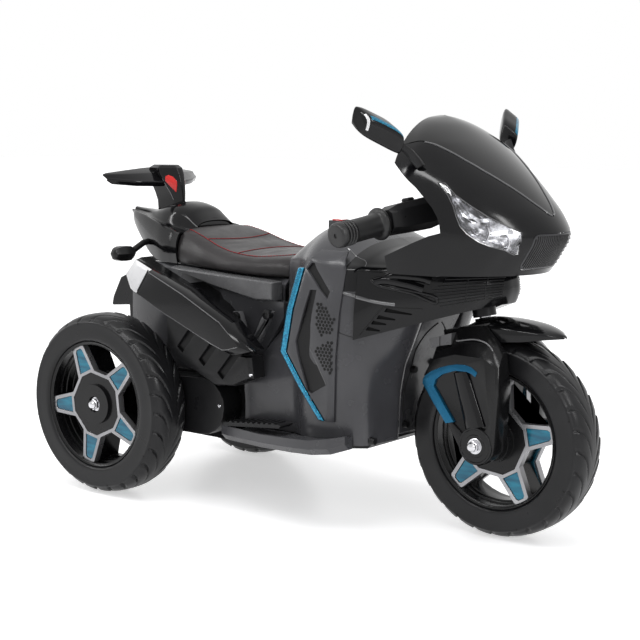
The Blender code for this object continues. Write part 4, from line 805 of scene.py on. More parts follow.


# A much lighter grey than the black round it, for thin bars along ridges and edges: the ridges are real,
# their lighter colour is painted highlight.
painted_highlight_edge = finish("bright moulded edge", (0.050, 0.050, 0.053), (0.080, 0.080, 0.084), 0.12, 0.03,
                    300, 0.00002, coat=0.6, shine=0.7)
KNEE_RIDGE = [(0.1296, 0.3674), (0.1400, 0.3656), (0.1535, 0.3633)]
DASH_EDGE = [(0.1020, 0.4320), (0.1126, 0.4274), (0.1321, 0.4189), (0.1497, 0.4133), (0.1560, 0.4060)]
LOWER_SEAM = [(0.1250, 0.3140), (0.1280, 0.3080), (0.1420, 0.3040), (0.1540, 0.3015)]
for word, side in SIDES:
    surface = surface_of(bpy.data.objects[f"body_half_{word}"])
    # The dash edge and the knee ridge are bars of that lighter colour, a painted highlight.
    lines(f"dash_edges_{word}", [onto(surface, DASH_EDGE, side, 0.0002, 4)], 0.0009, painted_highlight_edge,
          "trike_frame")
    lines(f"knee_ridges_{word}", [onto(surface, KNEE_RIDGE, side, -0.0010, 4)], 0.0030, painted_highlight_edge,
          "trike_frame", 16)
    # The lower seam is a near-black line on the surface: painted shade in the groove.
    lines(f"body_seams_{word}", [onto(surface, LOWER_SEAM, side, -0.0002, 4)], 0.0006, painted_shade_black,
          "trike_frame")

# Chin cover
# The prow over the front wheel, in gloss black plastic: two swept ridges and a lip on each side,
# slots to cool the steering head, and three panels of level ribs round the front. Thin covers of
# the same plastic snap onto the dash behind the hood.
gloss = finish("gloss black plastic", (0.0030, 0.0030, 0.0036), (0.0055, 0.0055, 0.0062), 0.13, 0.03, 260,
               0.00002)
DASH_ROWS = 28
DASH_COLUMNS = 27
DASH_THICK = 0.0009
for word, side in SIDES:
    patch = [[on_side(p, side) for p in row[:DASH_COLUMNS]] for row in body_rows[DASH_ROWS:]]
    cover = shell(f"dash_{word}", patch, DASH_THICK, on_side(BODY_HEART, side))
    cover.modifiers["wall"].offset = 1.0
    carved(f"dash_cover_{word}", cover, [], gloss, "trike_frame", (), 40)

CHIN_REAR = 0.1545
CHIN_TOP = 0.4005
CHIN_CORNER = 0.2985
CHIN_HEART = (0.2525, 0, 0.37)
CHIN_PLAN = [(0.1925, 0.1390), (0.2325, 0.119), (0.2725, 0.092), (0.3085, 0.056), (0.3275, 0.029),
             (0.3345, 0.016), (0.3355, 0.0)]
CHIN_SHELF = [(0.1560, 0.1420), (0.1865, 0.126), (0.2245, 0.109), (0.2565, 0.075), (0.2845, 0.048),
              (0.3025, 0.028), (0.3065, 0.014), (0.3075, 0.0)]
CHIN_LIP = [(CHIN_REAR, 0.0034), (0.1775, 0.0050), (0.2025, 0.0120)]
CHIN_DRAW = [(0.0, 0.004), (0.15, 0.001), (0.42, -0.002), (0.75, 0.0), (1.0, 0.004)]
CHIN_LOW = [(CHIN_REAR, CHIN_CORNER), (0.3225, 0.3520), (0.3355, 0.3540)]


def chin_half(height, lip_share=0.0, out=0.0):
    """Half a row of the chin at a share of its height, from the body forward to the middle."""
    rear_z = CHIN_CORNER + height * (CHIN_TOP - CHIN_CORNER)
    row = []
    for x, y in [(CHIN_REAR, between(rear_z, BODY_WIDTH) + 0.0004)] + CHIN_PLAN:
        low = between(x, CHIN_LOW)
        drawn = between(height, CHIN_DRAW) * (x > CHIN_REAR) + lip_share * between(x, CHIN_LIP) - out
        row.append((CHIN_REAR + (x - CHIN_REAR) * (1 - drawn / 0.18), y * (1 - drawn / 0.14),
                    low + height * (CHIN_TOP - low)))
    return row


def both_sides(half):
    """A whole row from its right end round to its left end, from half a row."""
    return [(x, -y, z) for x, y, z in half] + [(x, y, z) for x, y, z in reversed(half[:-1])]


SLOTS = [((0.2000, 0.3462), (0.2330, 0.3404)), ((0.1890, 0.3352), (0.2112, 0.3316)),
         ((0.1808, 0.3266), (0.1985, 0.3240)), ((0.1735, 0.3172), (0.1892, 0.3138))]


def slot_tool(ends, side):
    (x0, z0), (x1, z1) = ends
    outline = [(x0 - 0.0022, z0 - 0.0034), (x0 + 0.0014, z0 + 0.0026), (x1, z1 + 0.0012), (x1 + 0.0012, z1),
               (x1, z1 - 0.0012)]
    return slab(outline, side * 0.080, side * 0.20)


shelf = refined([both_sides([(x, y, CHIN_TOP) for x, y in CHIN_SHELF])] * 2, 4, 1)[:1]
sides = refined([both_sides(chin_half(height)) for height in (1.0, 0.75, 0.42, 0.15, 0.0)], 4, 5)
lip = refined([both_sides(chin_half(0.0, 1.0))] * 2, 4, 1)[:1]
cuts = [("DIFFERENCE", slot_tool(ends, side)) for ends in SLOTS for side in (RIGHT, LEFT)]
chin_rows = shelf + sides + lip
carved("chin_prow", shell("chin", chin_rows, BODY_WALL, CHIN_HEART), cuts, gloss, "trike_frame",
       ("chin_cover",), 36)
chin_blank = shell("chin_blank", chin_rows, 0, CHIN_HEART)
chin_surface = surface_of(chin_blank)
bpy.data.objects.remove(chin_blank)
UPPER_RIDGE = [(0.1985, 0.3930), (0.2080, 0.3962), (0.2292, 0.3955), (0.2450, 0.3935), (0.2560, 0.3900)]
MIDDLE_RIDGE = [(0.1826, 0.3870), (0.1930, 0.3893), (0.2034, 0.3888), (0.2310, 0.3835), (0.2477, 0.3780)]
LOWER_LIP = [(0.1765, 0.3897), (0.1855, 0.3823), (0.2027, 0.3780), (0.2318, 0.3723), (0.2486, 0.3648),
             (0.2633, 0.3581), (0.2652, 0.3630), (0.2620, 0.3675), (0.2532, 0.3706), (0.2318, 0.3755),
             (0.2045, 0.3806)]
SIDE_RIDGE = [(0.1560, 0.3628), (0.1693, 0.3601), (0.1889, 0.3566), (0.2127, 0.3541)]
SLOT_FRAME = [(0.1632, 0.3062), (0.1776, 0.3262), (0.1944, 0.3471), (0.2007, 0.3500), (0.2480, 0.3492)]
for word, side in SIDES:
    # Behind each slot a near-black sheet stands in for the shade inside it: painted shade.
    floors = []
    for (x0, z0), (x1, z1) in SLOTS:
        back = onto(chin_surface, [(x0 - 0.004, z0), (x1 + 0.003, z1)], side, -0.0050)
        (ax, ay, az), (bx, by, bz) = back
        outline = [(ax, ay), (bx, by), (bx - 0.001, by - side * 0.0016), (ax - 0.001, ay - side * 0.0016)]
        floors.append(slab(outline, min(z0, z1) - 0.0045, max(z0, z1) + 0.0045, "xy"))
    put(f"slot_shade_sheets_{word}", joined_mesh(floors), painted_shade_black, "trike_frame")
    routes = [onto(chin_surface, ridge, side, -0.0010, 5) for ridge in (UPPER_RIDGE, MIDDLE_RIDGE)]
    lines(f"chin_ridges_{word}", routes, 0.0066, gloss, "trike_frame", 20)
    lines(f"chin_lips_{word}", [onto(chin_surface, LOWER_LIP, side, 0.0, 4)], 0.0026, gloss, "trike_frame",
          14)
    # The side ridge takes the lighter edge colour, a painted highlight.
    lines(f"chin_side_ridge_{word}", [onto(chin_surface, SIDE_RIDGE, side, -0.0010, 4)], 0.0030, painted_highlight_edge,
          "trike_frame", 16)
    # The slot frame is a near-black line, painted shade along the edge of the slot panel.
    lines(f"slot_frames_{word}", [onto(chin_surface, SLOT_FRAME, side, -0.0001, 4)], 0.0008, painted_shade_black,
          "trike_frame")

CHIN_RIBS = 9
RIB_START = [(0.30, 0.2660), (0.55, 0.2500), (0.86, 0.2720)]
DIVIDERS = (0.2975, 0.3165, 0.3322)
for word, side in SIDES:
    ribs = []
    for k in range(CHIN_RIBS):
        height = 0.28 + 0.60 * k / (CHIN_RIBS - 1)
        half = chin_half(height, 0.0, 0.0004)
        fine = [along_line(half, i / 90) for i in range(91)]
        start = between(height, RIB_START)
        ribs.append([on_side(p, side) for p in fine if start <= p[0] <= DIVIDERS[2]])
    for x in DIVIDERS[:2]:
        upright = []
        for i in range(8):
            half = chin_half(0.26 + 0.64 * i / 7, 0.0, 0.0004)
            near = min((along_line(half, t / 120) for t in range(121)), key=lambda p: abs(p[0] - x))
            upright.append(on_side(near, side))
        ribs.append(upright)
    lines(f"chin_ribs_{word}", ribs, 0.0010, satin, "trike_frame", 8)

# Leg shields and accent strips
# A bolted-on panel each side of the tank, moulded with a deep black channel, a black flash at the
# top and two perforated patches. The metallic blue strip snaps on along its rear edge.
SHIELD_FACE = [(0.168, 0.1578), (0.270, 0.1646), (0.340, 0.1626), (0.400, 0.1536), (0.415, 0.1468),
               (0.427, 0.1333)]
CHANNEL = [(0.0734, 0.3678), (0.0625, 0.3261), (0.0510, 0.2877), (0.0565, 0.2635), (0.0722, 0.2121),
           (0.0802, 0.2090), (0.1087, 0.2254), (0.0799, 0.2782), (0.0791, 0.3151), (0.0863, 0.3686)]
FLASH = [(0.0700, 0.4080), (0.0760, 0.4080), (0.1119, 0.3674), (0.1079, 0.3560), (0.0928, 0.3682),
         (0.0640, 0.3985)]
PATCHES = [[(0.0906, 0.3486), (0.1000, 0.3502), (0.1238, 0.3266), (0.1198, 0.3060), (0.0956, 0.2990),
            (0.0892, 0.3159)],
           [(0.0892, 0.2791), (0.1225, 0.2982), (0.1220, 0.2534), (0.1142, 0.2404), (0.0891, 0.2750)]]
PERFORATION_PITCH = 0.0064
PERFORATION_ROWS = 30
PERFORATION_COLUMNS = 12
PERFORATION_START = (0.0880, 0.2400)
CHANNEL_DEPTH = 0.0042


def face_layer(outline, side, low, high):
    """Solid between two depths measured from the shield's sloping face."""
    bm = bmesh.new()
    rings = []
    for out in (low, high):
        rings.append([bm.verts.new((x, side * (between(z, SHIELD_FACE) + out), z)) for x, z in outline])
    skin(bm, rings)
    bm.faces.new(rings[0])
    bm.faces.new(rings[1])
    bmesh.ops.triangulate(bm, faces=bm.faces)
    bmesh.ops.recalc_face_normals(bm, faces=bm.faces)
    return bm


def held_within(x, z, outline):
    """True where a point lies inside an outline."""
    held = False
    for (x0, z0), (x1, z1) in zip(outline, outline[1:] + outline[:1]):
        if (z0 > z) != (z1 > z) and x < x0 + (x1 - x0) * (z - z0) / (z1 - z0):
            held = not held
    return held


def blank_of(node_name):
    """Loose copy of a CAD solid, merged, for carving."""
    return linked(f"{node_name}_blank", merged_solid(node_name, f"{node_name}_blank"))


blue_metal = finish("metallic blue strip", (0.002, 0.085, 0.180), (0.014, 0.270, 0.420), 0.20, 0.05,
                    900, 0.00010, 0.80, 0.6, (1, 1, 1.6), 330.0)
channel_black = finish("channel black", (0.0035, 0.0035, 0.004), (0.006, 0.006, 0.0065), 0.36, 0.05,
                       500, 0.00008)
for word, side in SIDES:
    cuts = [("DIFFERENCE", face_layer(outline, side, -CHANNEL_DEPTH, 0.02)) for outline in (CHANNEL, FLASH)]
    carved(f"leg_shield_panel_{word}", blank_of(f"leg_shield_{word}"), cuts, body_grey, "trike_frame",
           (f"leg_shield_{word}",), 30, 0.0011)
    floors = [face_layer(outline, side, -CHANNEL_DEPTH - 0.0004, 0.0003 - CHANNEL_DEPTH)
              for outline in (CHANNEL, FLASH)]
    put(f"shield_channels_{word}", joined_mesh(floors), channel_black, "trike_frame")
    # The perforations are small near-black dots on the face: painted shade for the holes.
    points = []
    for patch in PATCHES:
        for row in range(PERFORATION_ROWS):
            for column in range(PERFORATION_COLUMNS):
                x = PERFORATION_START[0] + PERFORATION_PITCH * (column + 0.5 * (row % 2))
                z = PERFORATION_START[1] + 0.80 * PERFORATION_PITCH * row
                if held_within(x, z, patch):
                    points.append(((x, side * (between(z, SHIELD_FACE) + 0.0001), z), (0, side, 0)))
    grown(f"perforations_{word}", points, notch_tree,
          {"Radius": 0.0026, "Depth": 0.0006, "Material": painted_shade_black}, "trike_frame")
    # The channel's edges are bars of the lighter edge colour, a painted highlight.
    edges = [[(x, side * (between(z, SHIELD_FACE) + 0.0001), z) for x, z in run]
             for run in ([(0.0806, 0.2784), (0.1095, 0.2262)], [(0.0791, 0.2057), (0.0807, 0.1831)])]
    lines(f"shield_edges_{word}", edges, 0.0006, painted_highlight_edge, "trike_frame")
    softened(f"accent_strip_{word}", f"accent_strip_trim_{word}", blue_metal, "trike_frame", 0.0034,
             4)

# Footboards and pedal
# Moulded boards in dark grey polypropylene with a low rim round the tread, bolted to the tray on
# each side of the body. The accelerator on the right one is a hinged plate over its switch.
for word, side in SIDES:
    softened(f"footboard_{word}", f"footboard_tread_{word}", body_grey, "trike_frame", 0.0022,
             3)
softened("accelerator_pedal", "pedal_tread", satin, "pedal", 0.0005)

# Switch and horn button
# Moulded red nylon caps: a rocker snapped into its frame on top of the tank, and a round button
# on the plunger in the left switch housing.
red_gloss = finish("red switch plastic", (0.55, 0.012, 0.012), (0.66, 0.020, 0.018), 0.22, 0.04, 600, 0.00005)
softened("power_switch", "power_rocker_cap", red_gloss, "power_rocker", 0.0006)
softened("horn_button", "horn_cap", red_gloss, "horn_plunger", 0.0008)

# Seat base, side panels and seat
# The hard base carries a foam cushion in dark leatherette. The top panel is sewn to the rounded
# side panel in red thread, with two more seams across. The seat front tucks in behind the tank.
side_grey = finish("grey panel plastic", (0.075, 0.075, 0.078), (0.125, 0.125, 0.129), 0.26, 0.05, 500,
                   0.00008, shine=0.40, patch_scale=14.0)
leather = finish("seat leatherette", (0.019, 0.0172, 0.0178), (0.029, 0.0265, 0.0272), 0.38, 0.06,
                 620, 0.00045)
thread_red = finish("red thread", (0.30, 0.010, 0.016), (0.44, 0.020, 0.028), 0.55, 0.06, 2600, 0.0001)
softened("seat_base", "seat_base_shell", body_grey, "trike_frame", 0.0020)
for word, side in SIDES:
    softened(f"side_panel_{word}", f"side_panel_trim_{word}", side_grey, "trike_frame", 0.0020,
             3)

SEAT_TOP = [(-0.2595, 0.4400), (-0.2455, 0.4410), (-0.2175, 0.4330), (-0.1775, 0.4180), (-0.1375, 0.4080),
            (-0.0975, 0.4045), (-0.0625, 0.4060), (-0.0355, 0.4065), (-0.0245, 0.4030)]
SEAT_WIDTH = [(-0.2595, 0.0965), (-0.2455, 0.1010), (-0.1975, 0.1100), (-0.1275, 0.1140), (-0.0675, 0.1080),
              (-0.0355, 0.0980), (-0.0245, 0.0880)]
SEAT_FLOOR = [(-0.2595, 0.3801), (-0.2575, 0.3801), (-0.1675, 0.3771), (-0.0875, 0.3736), (-0.0245, 0.3711)]
SEAT_STATIONS = 15
SEAT_REAR = -0.2640
SEAT_LENGTH = 0.2395
SEAT_SIDE = [(0.006, 0.0), (0.0015, 0.10), (0.001, 0.30), (0.003, 0.52), (0.008, 0.72), (0.017, 0.88),
             (0.030, 0.955), (0.052, 0.985)]
SEAT_MESH = 0.005
STUFFING_FRAMES = 20
STUFFING_PRESSURE = 4.0
STUFFING_TRAVEL = 0.006
SIDE_SEAM = [(-0.2560, 0.0700), (-0.2300, 0.0765), (-0.1950, 0.0825), (-0.1555, 0.0865), (-0.1150, 0.0860),
             (-0.0812, 0.0790), (-0.0600, 0.0640), (-0.0480, 0.0400), (-0.0450, 0.0)]
CROSS_SEAMS = [[(-0.2040, 0.0815), (-0.1960, 0.0560), (-0.1915, 0.0280), (-0.1900, 0.0)],
               [(-0.1330, 0.0868), (-0.1345, 0.0600), (-0.1370, 0.0300), (-0.1380, 0.0)]]
STITCH_PITCH = 0.0048
SEAM_REACH = 0.0030


def seat_ring(x):
    """Section of the cushion at a length, a little smaller than the sewn cover."""
    top, width, low = between(x, SEAT_TOP), between(x, SEAT_WIDTH), between(x, SEAT_FLOOR)
    rise = top - low - 0.0010
    half = [(0.045, low)] + [(width - inward - 0.0010, low + share * rise) for inward, share in SEAT_SIDE]
    half += [(width * 0.30, low + 0.998 * rise)]
    ring = [(x, -y, z) for y, z in half] + [(x, 0.0, low + rise)] + [(x, y, z) for y, z in reversed(half)]
    return ring + [(x, 0.0, low)]


def mirrored_path(half):
    return [(x, -y) for x, y in half] + [(x, y) for x, y in reversed(half[:-1])]


seam_plans = [mirrored_path(SIDE_SEAM)] + [mirrored_path(half) for half in CROSS_SEAMS]
seam_plans = [[along_line(plan, k / 80) for k in range(81)] for plan in seam_plans]


def stuffed(holder):
    """The cushion blown up as cloth, held at its underside and along its seams."""
    mesh = holder.data
    group = holder.vertex_groups.new(name="held")
    for vertex in mesh.vertices:
        x, y, z = vertex.co
        on_seam = z > 0.39 and any((x - a) ** 2 + (y - b) ** 2 < SEAM_REACH ** 2
                                   for plan in seam_plans for a, b in plan)
        if on_seam or z < between(x, SEAT_FLOOR) + 0.004:
            group.add([vertex.index], 1.0, "REPLACE")
    cloth = holder.modifiers.new("stuffing", "CLOTH")
    cloth.settings.use_pressure = True
    cloth.settings.uniform_pressure_force = STUFFING_PRESSURE
    cloth.settings.effector_weights.gravity = 0.0
    cloth.settings.vertex_group_mass = "held"
    cloth.settings.tension_stiffness = 10.0
    cloth.settings.compression_stiffness = 10.0
    cloth.point_cache.frame_start = 1
    cloth.point_cache.frame_end = STUFFING_FRAMES
    for frame_number in range(1, STUFFING_FRAMES + 1):
        bpy.context.scene.frame_set(frame_number)
    blown = settled(holder)
    holder.modifiers.remove(cloth)
    for vertex, moved in zip(mesh.vertices, blown.vertices):
        travel = moved.co - vertex.co
        if travel.length > STUFFING_TRAVEL:
            travel *= STUFFING_TRAVEL / travel.length
        vertex.co += travel
    bpy.context.scene.frame_set(1)


stations = [SEAT_REAR + SEAT_LENGTH * k / (SEAT_STATIONS - 1) for k in range(SEAT_STATIONS)]
holder = blank_from("cushion", lofted([seat_ring(x) for x in stations]))
even = holder.modifiers.new("even mesh", "REMESH")
even.mode = "VOXEL"
even.voxel_size = SEAT_MESH
holder.data = settled(holder)
holder.modifiers.clear()
stuffed(holder)
finer = holder.modifiers.new("finer", "SUBSURF")
finer.levels = 1
bm = bmesh.new()
bm.from_mesh(settled(holder))
bpy.data.objects.remove(holder)
seat = put("seat_cushion", bm, leather, "trike_frame", ("seat",), 70)

stitch_tree = copies_tree("stitch", "GeometryNodeMeshCylinder",
                          {"Vertices": 6, "Radius": "Radius", "Depth": "Length"},
                          {"Radius": 0.0006, "Length": 0.0030})


def laid_down(surface, plan, out):
    """Route of (x, y) laid on a surface from above."""
    route = []
    for x, y in plan:
        place, normal, index, distance = surface.ray_cast(Vector((x, y, 0.6)), Vector((0, 0, -1)))
        if place:
            route.append(place + normal * out)
    return route


def sewn(route):
    """Stitch places and directions along a route at the stitch pitch."""
    points, travelled = [], 0.0
    for a, b in zip(route, route[1:]):
        travelled += (b - a).length
        if travelled >= STITCH_PITCH:
            travelled -= STITCH_PITCH
            points.append((tuple(b), tuple((b - a).normalized())))
    return points


surface = surface_of(seat)
fine_plans = [[along_line(plan, k / 500) for k in range(501)] for plan in seam_plans]
# The seams are near-black lines under the stitches: painted shade in the sewn grooves.
lines("seat_seams", [[tuple(p) for p in laid_down(surface, plan, -0.0003)] for plan in seam_plans], 0.0008,
      painted_shade_black, "trike_frame")
stitches = [point for plan in fine_plans for point in sewn(laid_down(surface, plan, 0.0006))]
grown("seat_stitches", stitches, stitch_tree, {"Radius": 0.00055, "Length": 0.0034, "Material": thread_red},
      "trike_frame")

# Tail cowl, wing, signals and plate holder
# A gloss shell behind the seat with a smooth hump, and a one-piece wing whose wedge-shaped pillar
# stands on the cowl with a red reflector on each slanted face. The turn signals, soft rubber on the
# real thing, are drawn in satin black plastic.
COWL_STATIONS = [(-0.4455, 0.010, 0.448, 0.460, 0.4640), (-0.4275, 0.028, 0.440, 0.459, 0.4625),
                 (-0.4025, 0.044, 0.425, 0.457, 0.4615), (-0.3800, 0.056, 0.411, 0.4545, 0.4625),
                 (-0.3575, 0.067, 0.396, 0.4505, 0.4690), (-0.3350, 0.077, 0.386, 0.4465, 0.4760),
                 (-0.3100, 0.087, 0.3805, 0.4420, 0.4785), (-0.2850, 0.094, 0.3805, 0.4370, 0.4720),
                 (-0.2720, 0.097, 0.3805, 0.4335, 0.4620), (-0.2580, 0.1005, 0.3805, 0.432, 0.4490)]
COWL_WALL = 0.003
COWL_HEART = (-0.33, 0, 0.40)
COWL_FRONT = (-0.2640, -0.2610)
FRONT_WALL = [(0.0955, 0.3810), (0.0975, 0.4080), (0.0905, 0.4290), (0.0800, 0.4310), (0.0500, 0.4330),
              (0.0440, 0.4420), (0.0300, 0.4500), (0.0, 0.4530)]
HUMP_HALF = [(-0.4455, 0.006), (-0.4025, 0.016), (-0.3800, 0.028), (-0.3450, 0.046), (-0.3100, 0.053),
             (-0.2750, 0.052), (-0.2580, 0.050)]
WING_SECTIONS = [(0.000, -0.4055, 0.5365, -0.3535, 0.5150), (0.030, -0.4075, 0.5350, -0.3575, 0.5135),
                 (0.070, -0.4125, 0.5315, -0.3760, 0.5145), (0.105, -0.4205, 0.5275, -0.3985, 0.5178),
                 (0.1115, -0.4200, 0.5260, -0.4055, 0.5190)]
WING_THICK = 0.0105
REFLECTOR_DRAW = 0.16
PILLAR_LEVELS = [(0.456, -0.385, 0.010, -0.345, 0.0110, -0.3310, 0.0030),
                 (0.478, -0.386, 0.011, -0.345, 0.0115, -0.3310, 0.0030),
                 (0.492, -0.390, 0.013, -0.350, 0.0150, -0.3315, 0.0040),
                 (0.510, -0.397, 0.016, -0.358, 0.0220, -0.3335, 0.0050),
                 (0.525, -0.400, 0.018, -0.364, 0.0270, -0.3370, 0.0060),
                 (0.5355, -0.399, 0.018, -0.367, 0.0280, -0.3420, 0.0070),
                 (0.5405, -0.392, 0.014, -0.368, 0.0215, -0.3500, 0.0060)]
REFLECTOR = [(0.10, 0.5130), (0.22, 0.5205), (0.42, 0.5235), (0.62, 0.5205), (0.76, 0.5130), (0.72, 0.5060),
             (0.56, 0.4960), (0.50, 0.4935), (0.42, 0.4960), (0.20, 0.5060)]


def rounded_loop(points, cut, steps=3):
    """Closed loop with each corner drawn as a short curve."""
    result = []
    for i, corner in enumerate(points):
        corner = Vector(corner)
        before, after = Vector(points[i - 1]) - corner, Vector(points[(i + 1) % len(points)]) - corner
        start = corner + before * min(0.45, cut / max(1e-9, before.length))
        end = corner + after * min(0.45, cut / max(1e-9, after.length))
        for k in range(steps + 1):
            t = k / steps
            result.append(tuple(start * (1 - t) ** 2 + corner * 2 * t * (1 - t) + end * t * t))
    return result


rows = []
for x, width, low, shoulder, hump in COWL_STATIONS:
    dome = between(x, HUMP_HALF)
    base = shoulder - 0.001
    half = [(width * 0.965, low), (width, low + 0.35 * (shoulder - low)),
            (width * 0.985, low + 0.72 * (shoulder - low)), (width * 0.92, shoulder - 0.0015),
            (width * 0.84, shoulder), (max(dome + 0.004, width * 0.70), base - 0.0025), (dome, base),
            (dome * 0.93, base + 0.45 * (hump - base)), (dome * 0.72, base + 0.80 * (hump - base)),
            (dome * 0.38, base + 0.965 * (hump - base)), (0.0, hump)]
    rows.append(both_sides([(x, y, z) for y, z in half]))
carved("tail_cowl", shell("cowl", refined(rows, 3, 6), COWL_WALL, COWL_HEART), [], gloss, "trike_frame",
       ("tail_cowl",), 50)

front_wall = [(-y, z) for y, z in FRONT_WALL] + FRONT_WALL[-2::-1]
put("cowl_front_wall", slab(front_wall, *COWL_FRONT, "yz"), gloss, "trike_frame")

rings = []
for side, sections in ((RIGHT, WING_SECTIONS[::-1]), (LEFT, WING_SECTIONS[1:])):
    for y, back, back_z, front, front_z in sections:
        middle, middle_z = 0.5 * (back + front), 0.5 * (back_z + front_z)
        thick = WING_THICK if y < 0.11 else 0.006
        section = [(back, back_z - 0.003), (back + 0.003, back_z), (middle, middle_z + 0.0022),
                   (front - 0.005, front_z + 0.001), (front, front_z - 0.002),
                   (front - 0.004, front_z - thick), (back + 0.012, middle_z - thick)]
        rings.append(rounded_loop([(x, side * y, z) for x, z in section], 0.0022))
blank = blank_from("wing", lofted(rings))
pillar_rings = []
for z, rear, rear_half, corner, corner_half, nose, nose_half in PILLAR_LEVELS:
    plan = [(rear, -rear_half), (corner, -corner_half), (nose, -nose_half), (nose, nose_half),
            (corner, corner_half), (rear, rear_half)]
    pillar_rings.append(rounded_loop([(x, y, z) for x, y in plan], 0.0026))
carved("rear_wing", blank, [("UNION", lofted(pillar_rings))], gloss, "trike_frame",
       ("rear_wing",), 28)


def pillar_face(share, z, side, out):
    """Place on the pillar's slanted front face, from its outer corner to its nose."""
    corner_x, corner_y, nose_x, nose_y = [
        between(z, [(level[0], level[k]) for level in PILLAR_LEVELS]) for k in (3, 4, 5, 6)]
    run = Vector((nose_x - corner_x, nose_y - corner_y))
    outward = Vector((-run.y, run.x)).normalized()
    place = Vector((corner_x, corner_y)) + run * share + outward * out
    return (place.x, side * place.y, z)


reflector_red = finish("red reflector", (0.62, 0.010, 0.010), (0.78, 0.030, 0.022), 0.16, 0.03, 900,
                       0.0001, coat=0.4)
for word, side in SIDES:
    rings = [[pillar_face(share, z, side, out) for share, z in REFLECTOR] for out in (-0.0015, 0.0010)]
    mean_share, mean_z = [sum(values) / len(REFLECTOR) for values in zip(*REFLECTOR)]
    rings.append([pillar_face(share + REFLECTOR_DRAW * (mean_share - share),
                              z + REFLECTOR_DRAW * (mean_z - z), side, 0.0018) for share, z in REFLECTOR])
    put(f"tail_reflector_{word}", lofted(rings), reflector_red, "trike_frame", (), 40)
    # The pillar's corner is a bar of the lighter edge colour, a painted highlight.
    corner_line = [pillar_face(0.0, z, side, 0.0001) for z in (0.480, 0.492, 0.501, 0.510, 0.517)]
    lines(f"pillar_edges_{word}", [corner_line], 0.0008, painted_highlight_edge, "trike_frame")

POD_PROFILE = [(0.0, 0.1040), (0.0072, 0.1048), (0.0088, 0.1070), (0.0128, 0.1140), (0.0140, 0.1175),
               (0.0143, 0.1290), (0.0137, 0.1395), (0.0105, 0.1485), (0.0070, 0.1515), (0.0, 0.1522)]
SIGNAL = (-0.3535, 0.3935)
for word, side in SIDES:
    pod = lathe(POD_PROFILE, 6, (SIGNAL[0], 0, SIGNAL[1]), side)
    put(f"rear_signal_pod_{word}", pod, satin, "trike_frame", (f"rear_signal_{word}",), 40)
    stalk = [(SIGNAL[0], side * 0.0560, 0.4120), (SIGNAL[0], side * 0.0800, 0.4085),
             (SIGNAL[0], side * 0.1120, 0.3935)]
    lines(f"rear_signal_stalk_{word}", [stalk], 0.0054, satin, "trike_frame", 16)
softened("plate_holder", "plate_flap", satin, "trike_frame", 0.0015)

# Silencers and ribbed covers
# Blow-moulded silencer boxes with bars of lighter plastic along their edges, a painted highlight, and a
# near-white cap on the rear end, partly its own pale plastic and partly a painted highlight, each over a
# cover with three broad ribs. A V-shaped dummy strut with two bolts fills the space in front; its
# lighter panel grey is a painted highlight.
CAP_FROM = 0.1870
CAP_SEAM = [(-0.2290, 0.3790), (-0.2535, 0.3435)]
CAP_SEAM_OUT = 0.1960
CAP_ZONE = [(-0.2255, 0.3838), (-0.2560, 0.3400), (-0.2960, 0.3400), (-0.3000, 0.3700), (-0.2700, 0.4100),
            (-0.2100, 0.4060)]
RIB_GROOVES = [[(-0.1500, 0.2950), (-0.1867, 0.2502)], [(-0.0960, 0.2850), (-0.1398, 0.2332)],
               [(-0.0580, 0.2650), (-0.0996, 0.2160)]]
GROOVE_HALF = 0.0076
GROOVE_FLOOR = 0.1600
SILENCER_TOP_RUN = [(-0.2280, 0.4100), (-0.0560, 0.3400)]
SILENCER_LOW_RUN = [(-0.2480, 0.3100), (-0.0300, 0.2300)]
# Near-white colour: on the silencer caps partly pale plastic and partly painted highlight, on the mirror tips
# wholly painted highlight.
cap_white_and_highlight = finish("pale cap plastic and painted highlight", (0.70, 0.70, 0.71), (0.80, 0.80, 0.81), 0.30, 0.04, 500, 0.00004)
STRUTS = [[(-0.1020, 0.3170), (-0.0870, 0.3170), (-0.0640, 0.2560), (-0.0700, 0.2490), (-0.0790, 0.2600)],
          [(-0.0350, 0.3250), (-0.0200, 0.3230), (-0.0560, 0.2560), (-0.0698, 0.2490), (-0.0700, 0.2620)]]
STRUT_SLOTS = [[(-0.0920, 0.3020), (-0.0850, 0.3030), (-0.0700, 0.2670), (-0.0740, 0.2650)],
               [(-0.0360, 0.3080), (-0.0300, 0.3060), (-0.0600, 0.2660), (-0.0650, 0.2700)]]
BOLTS = [(-0.0935, 0.3095), (-0.0282, 0.3185)]
BOLT_PROFILE = [(0.0, 0.1300), (0.0075, 0.1300), (0.0080, 0.1385), (0.0072, 0.1405), (0.0040, 0.1411),
                (0.0036, 0.1393), (0.0, 0.1391)]
STRUT_LOW = 0.1250
STRUT_HIGH = 0.1340
PANEL_LOW = 0.0990
PANEL_HIGH = 0.1130
STRUT_PANEL = [(-0.1500, 0.3480), (-0.0140, 0.3360), (-0.0140, 0.3120), (-0.0600, 0.2420), (-0.0820, 0.2420)]


def band(run, half, low, high, side):
    """Bar along a run of (x, z) points, between two distances from the middle."""
    (x0, z0), (x1, z1) = run
    away = Vector((z1 - z0, x0 - x1)).normalized() * half
    outline = [(x0 + away.x, z0 + away.y), (x1 + away.x, z1 + away.y), (x1 - away.x, z1 - away.y),
               (x0 - away.x, z0 - away.y)]
    return slab(outline, side * low, side * high)


def face_edge(surface, run, side, step):
    """Edge of a flat outer face, found by moving points of a run up or down until they meet it."""
    edge = []
    for k in range(31):
        x, z = along_line(run, k / 30)
        for move in range(200):
            place, normal, index, distance = surface.ray_cast(Vector((x, side * 0.4, z)),
                                                              Vector((0, -side, 0)))
            if place and abs(normal.y) > 0.97:
                edge.append(tuple(place))
                break
            z += step
    return edge


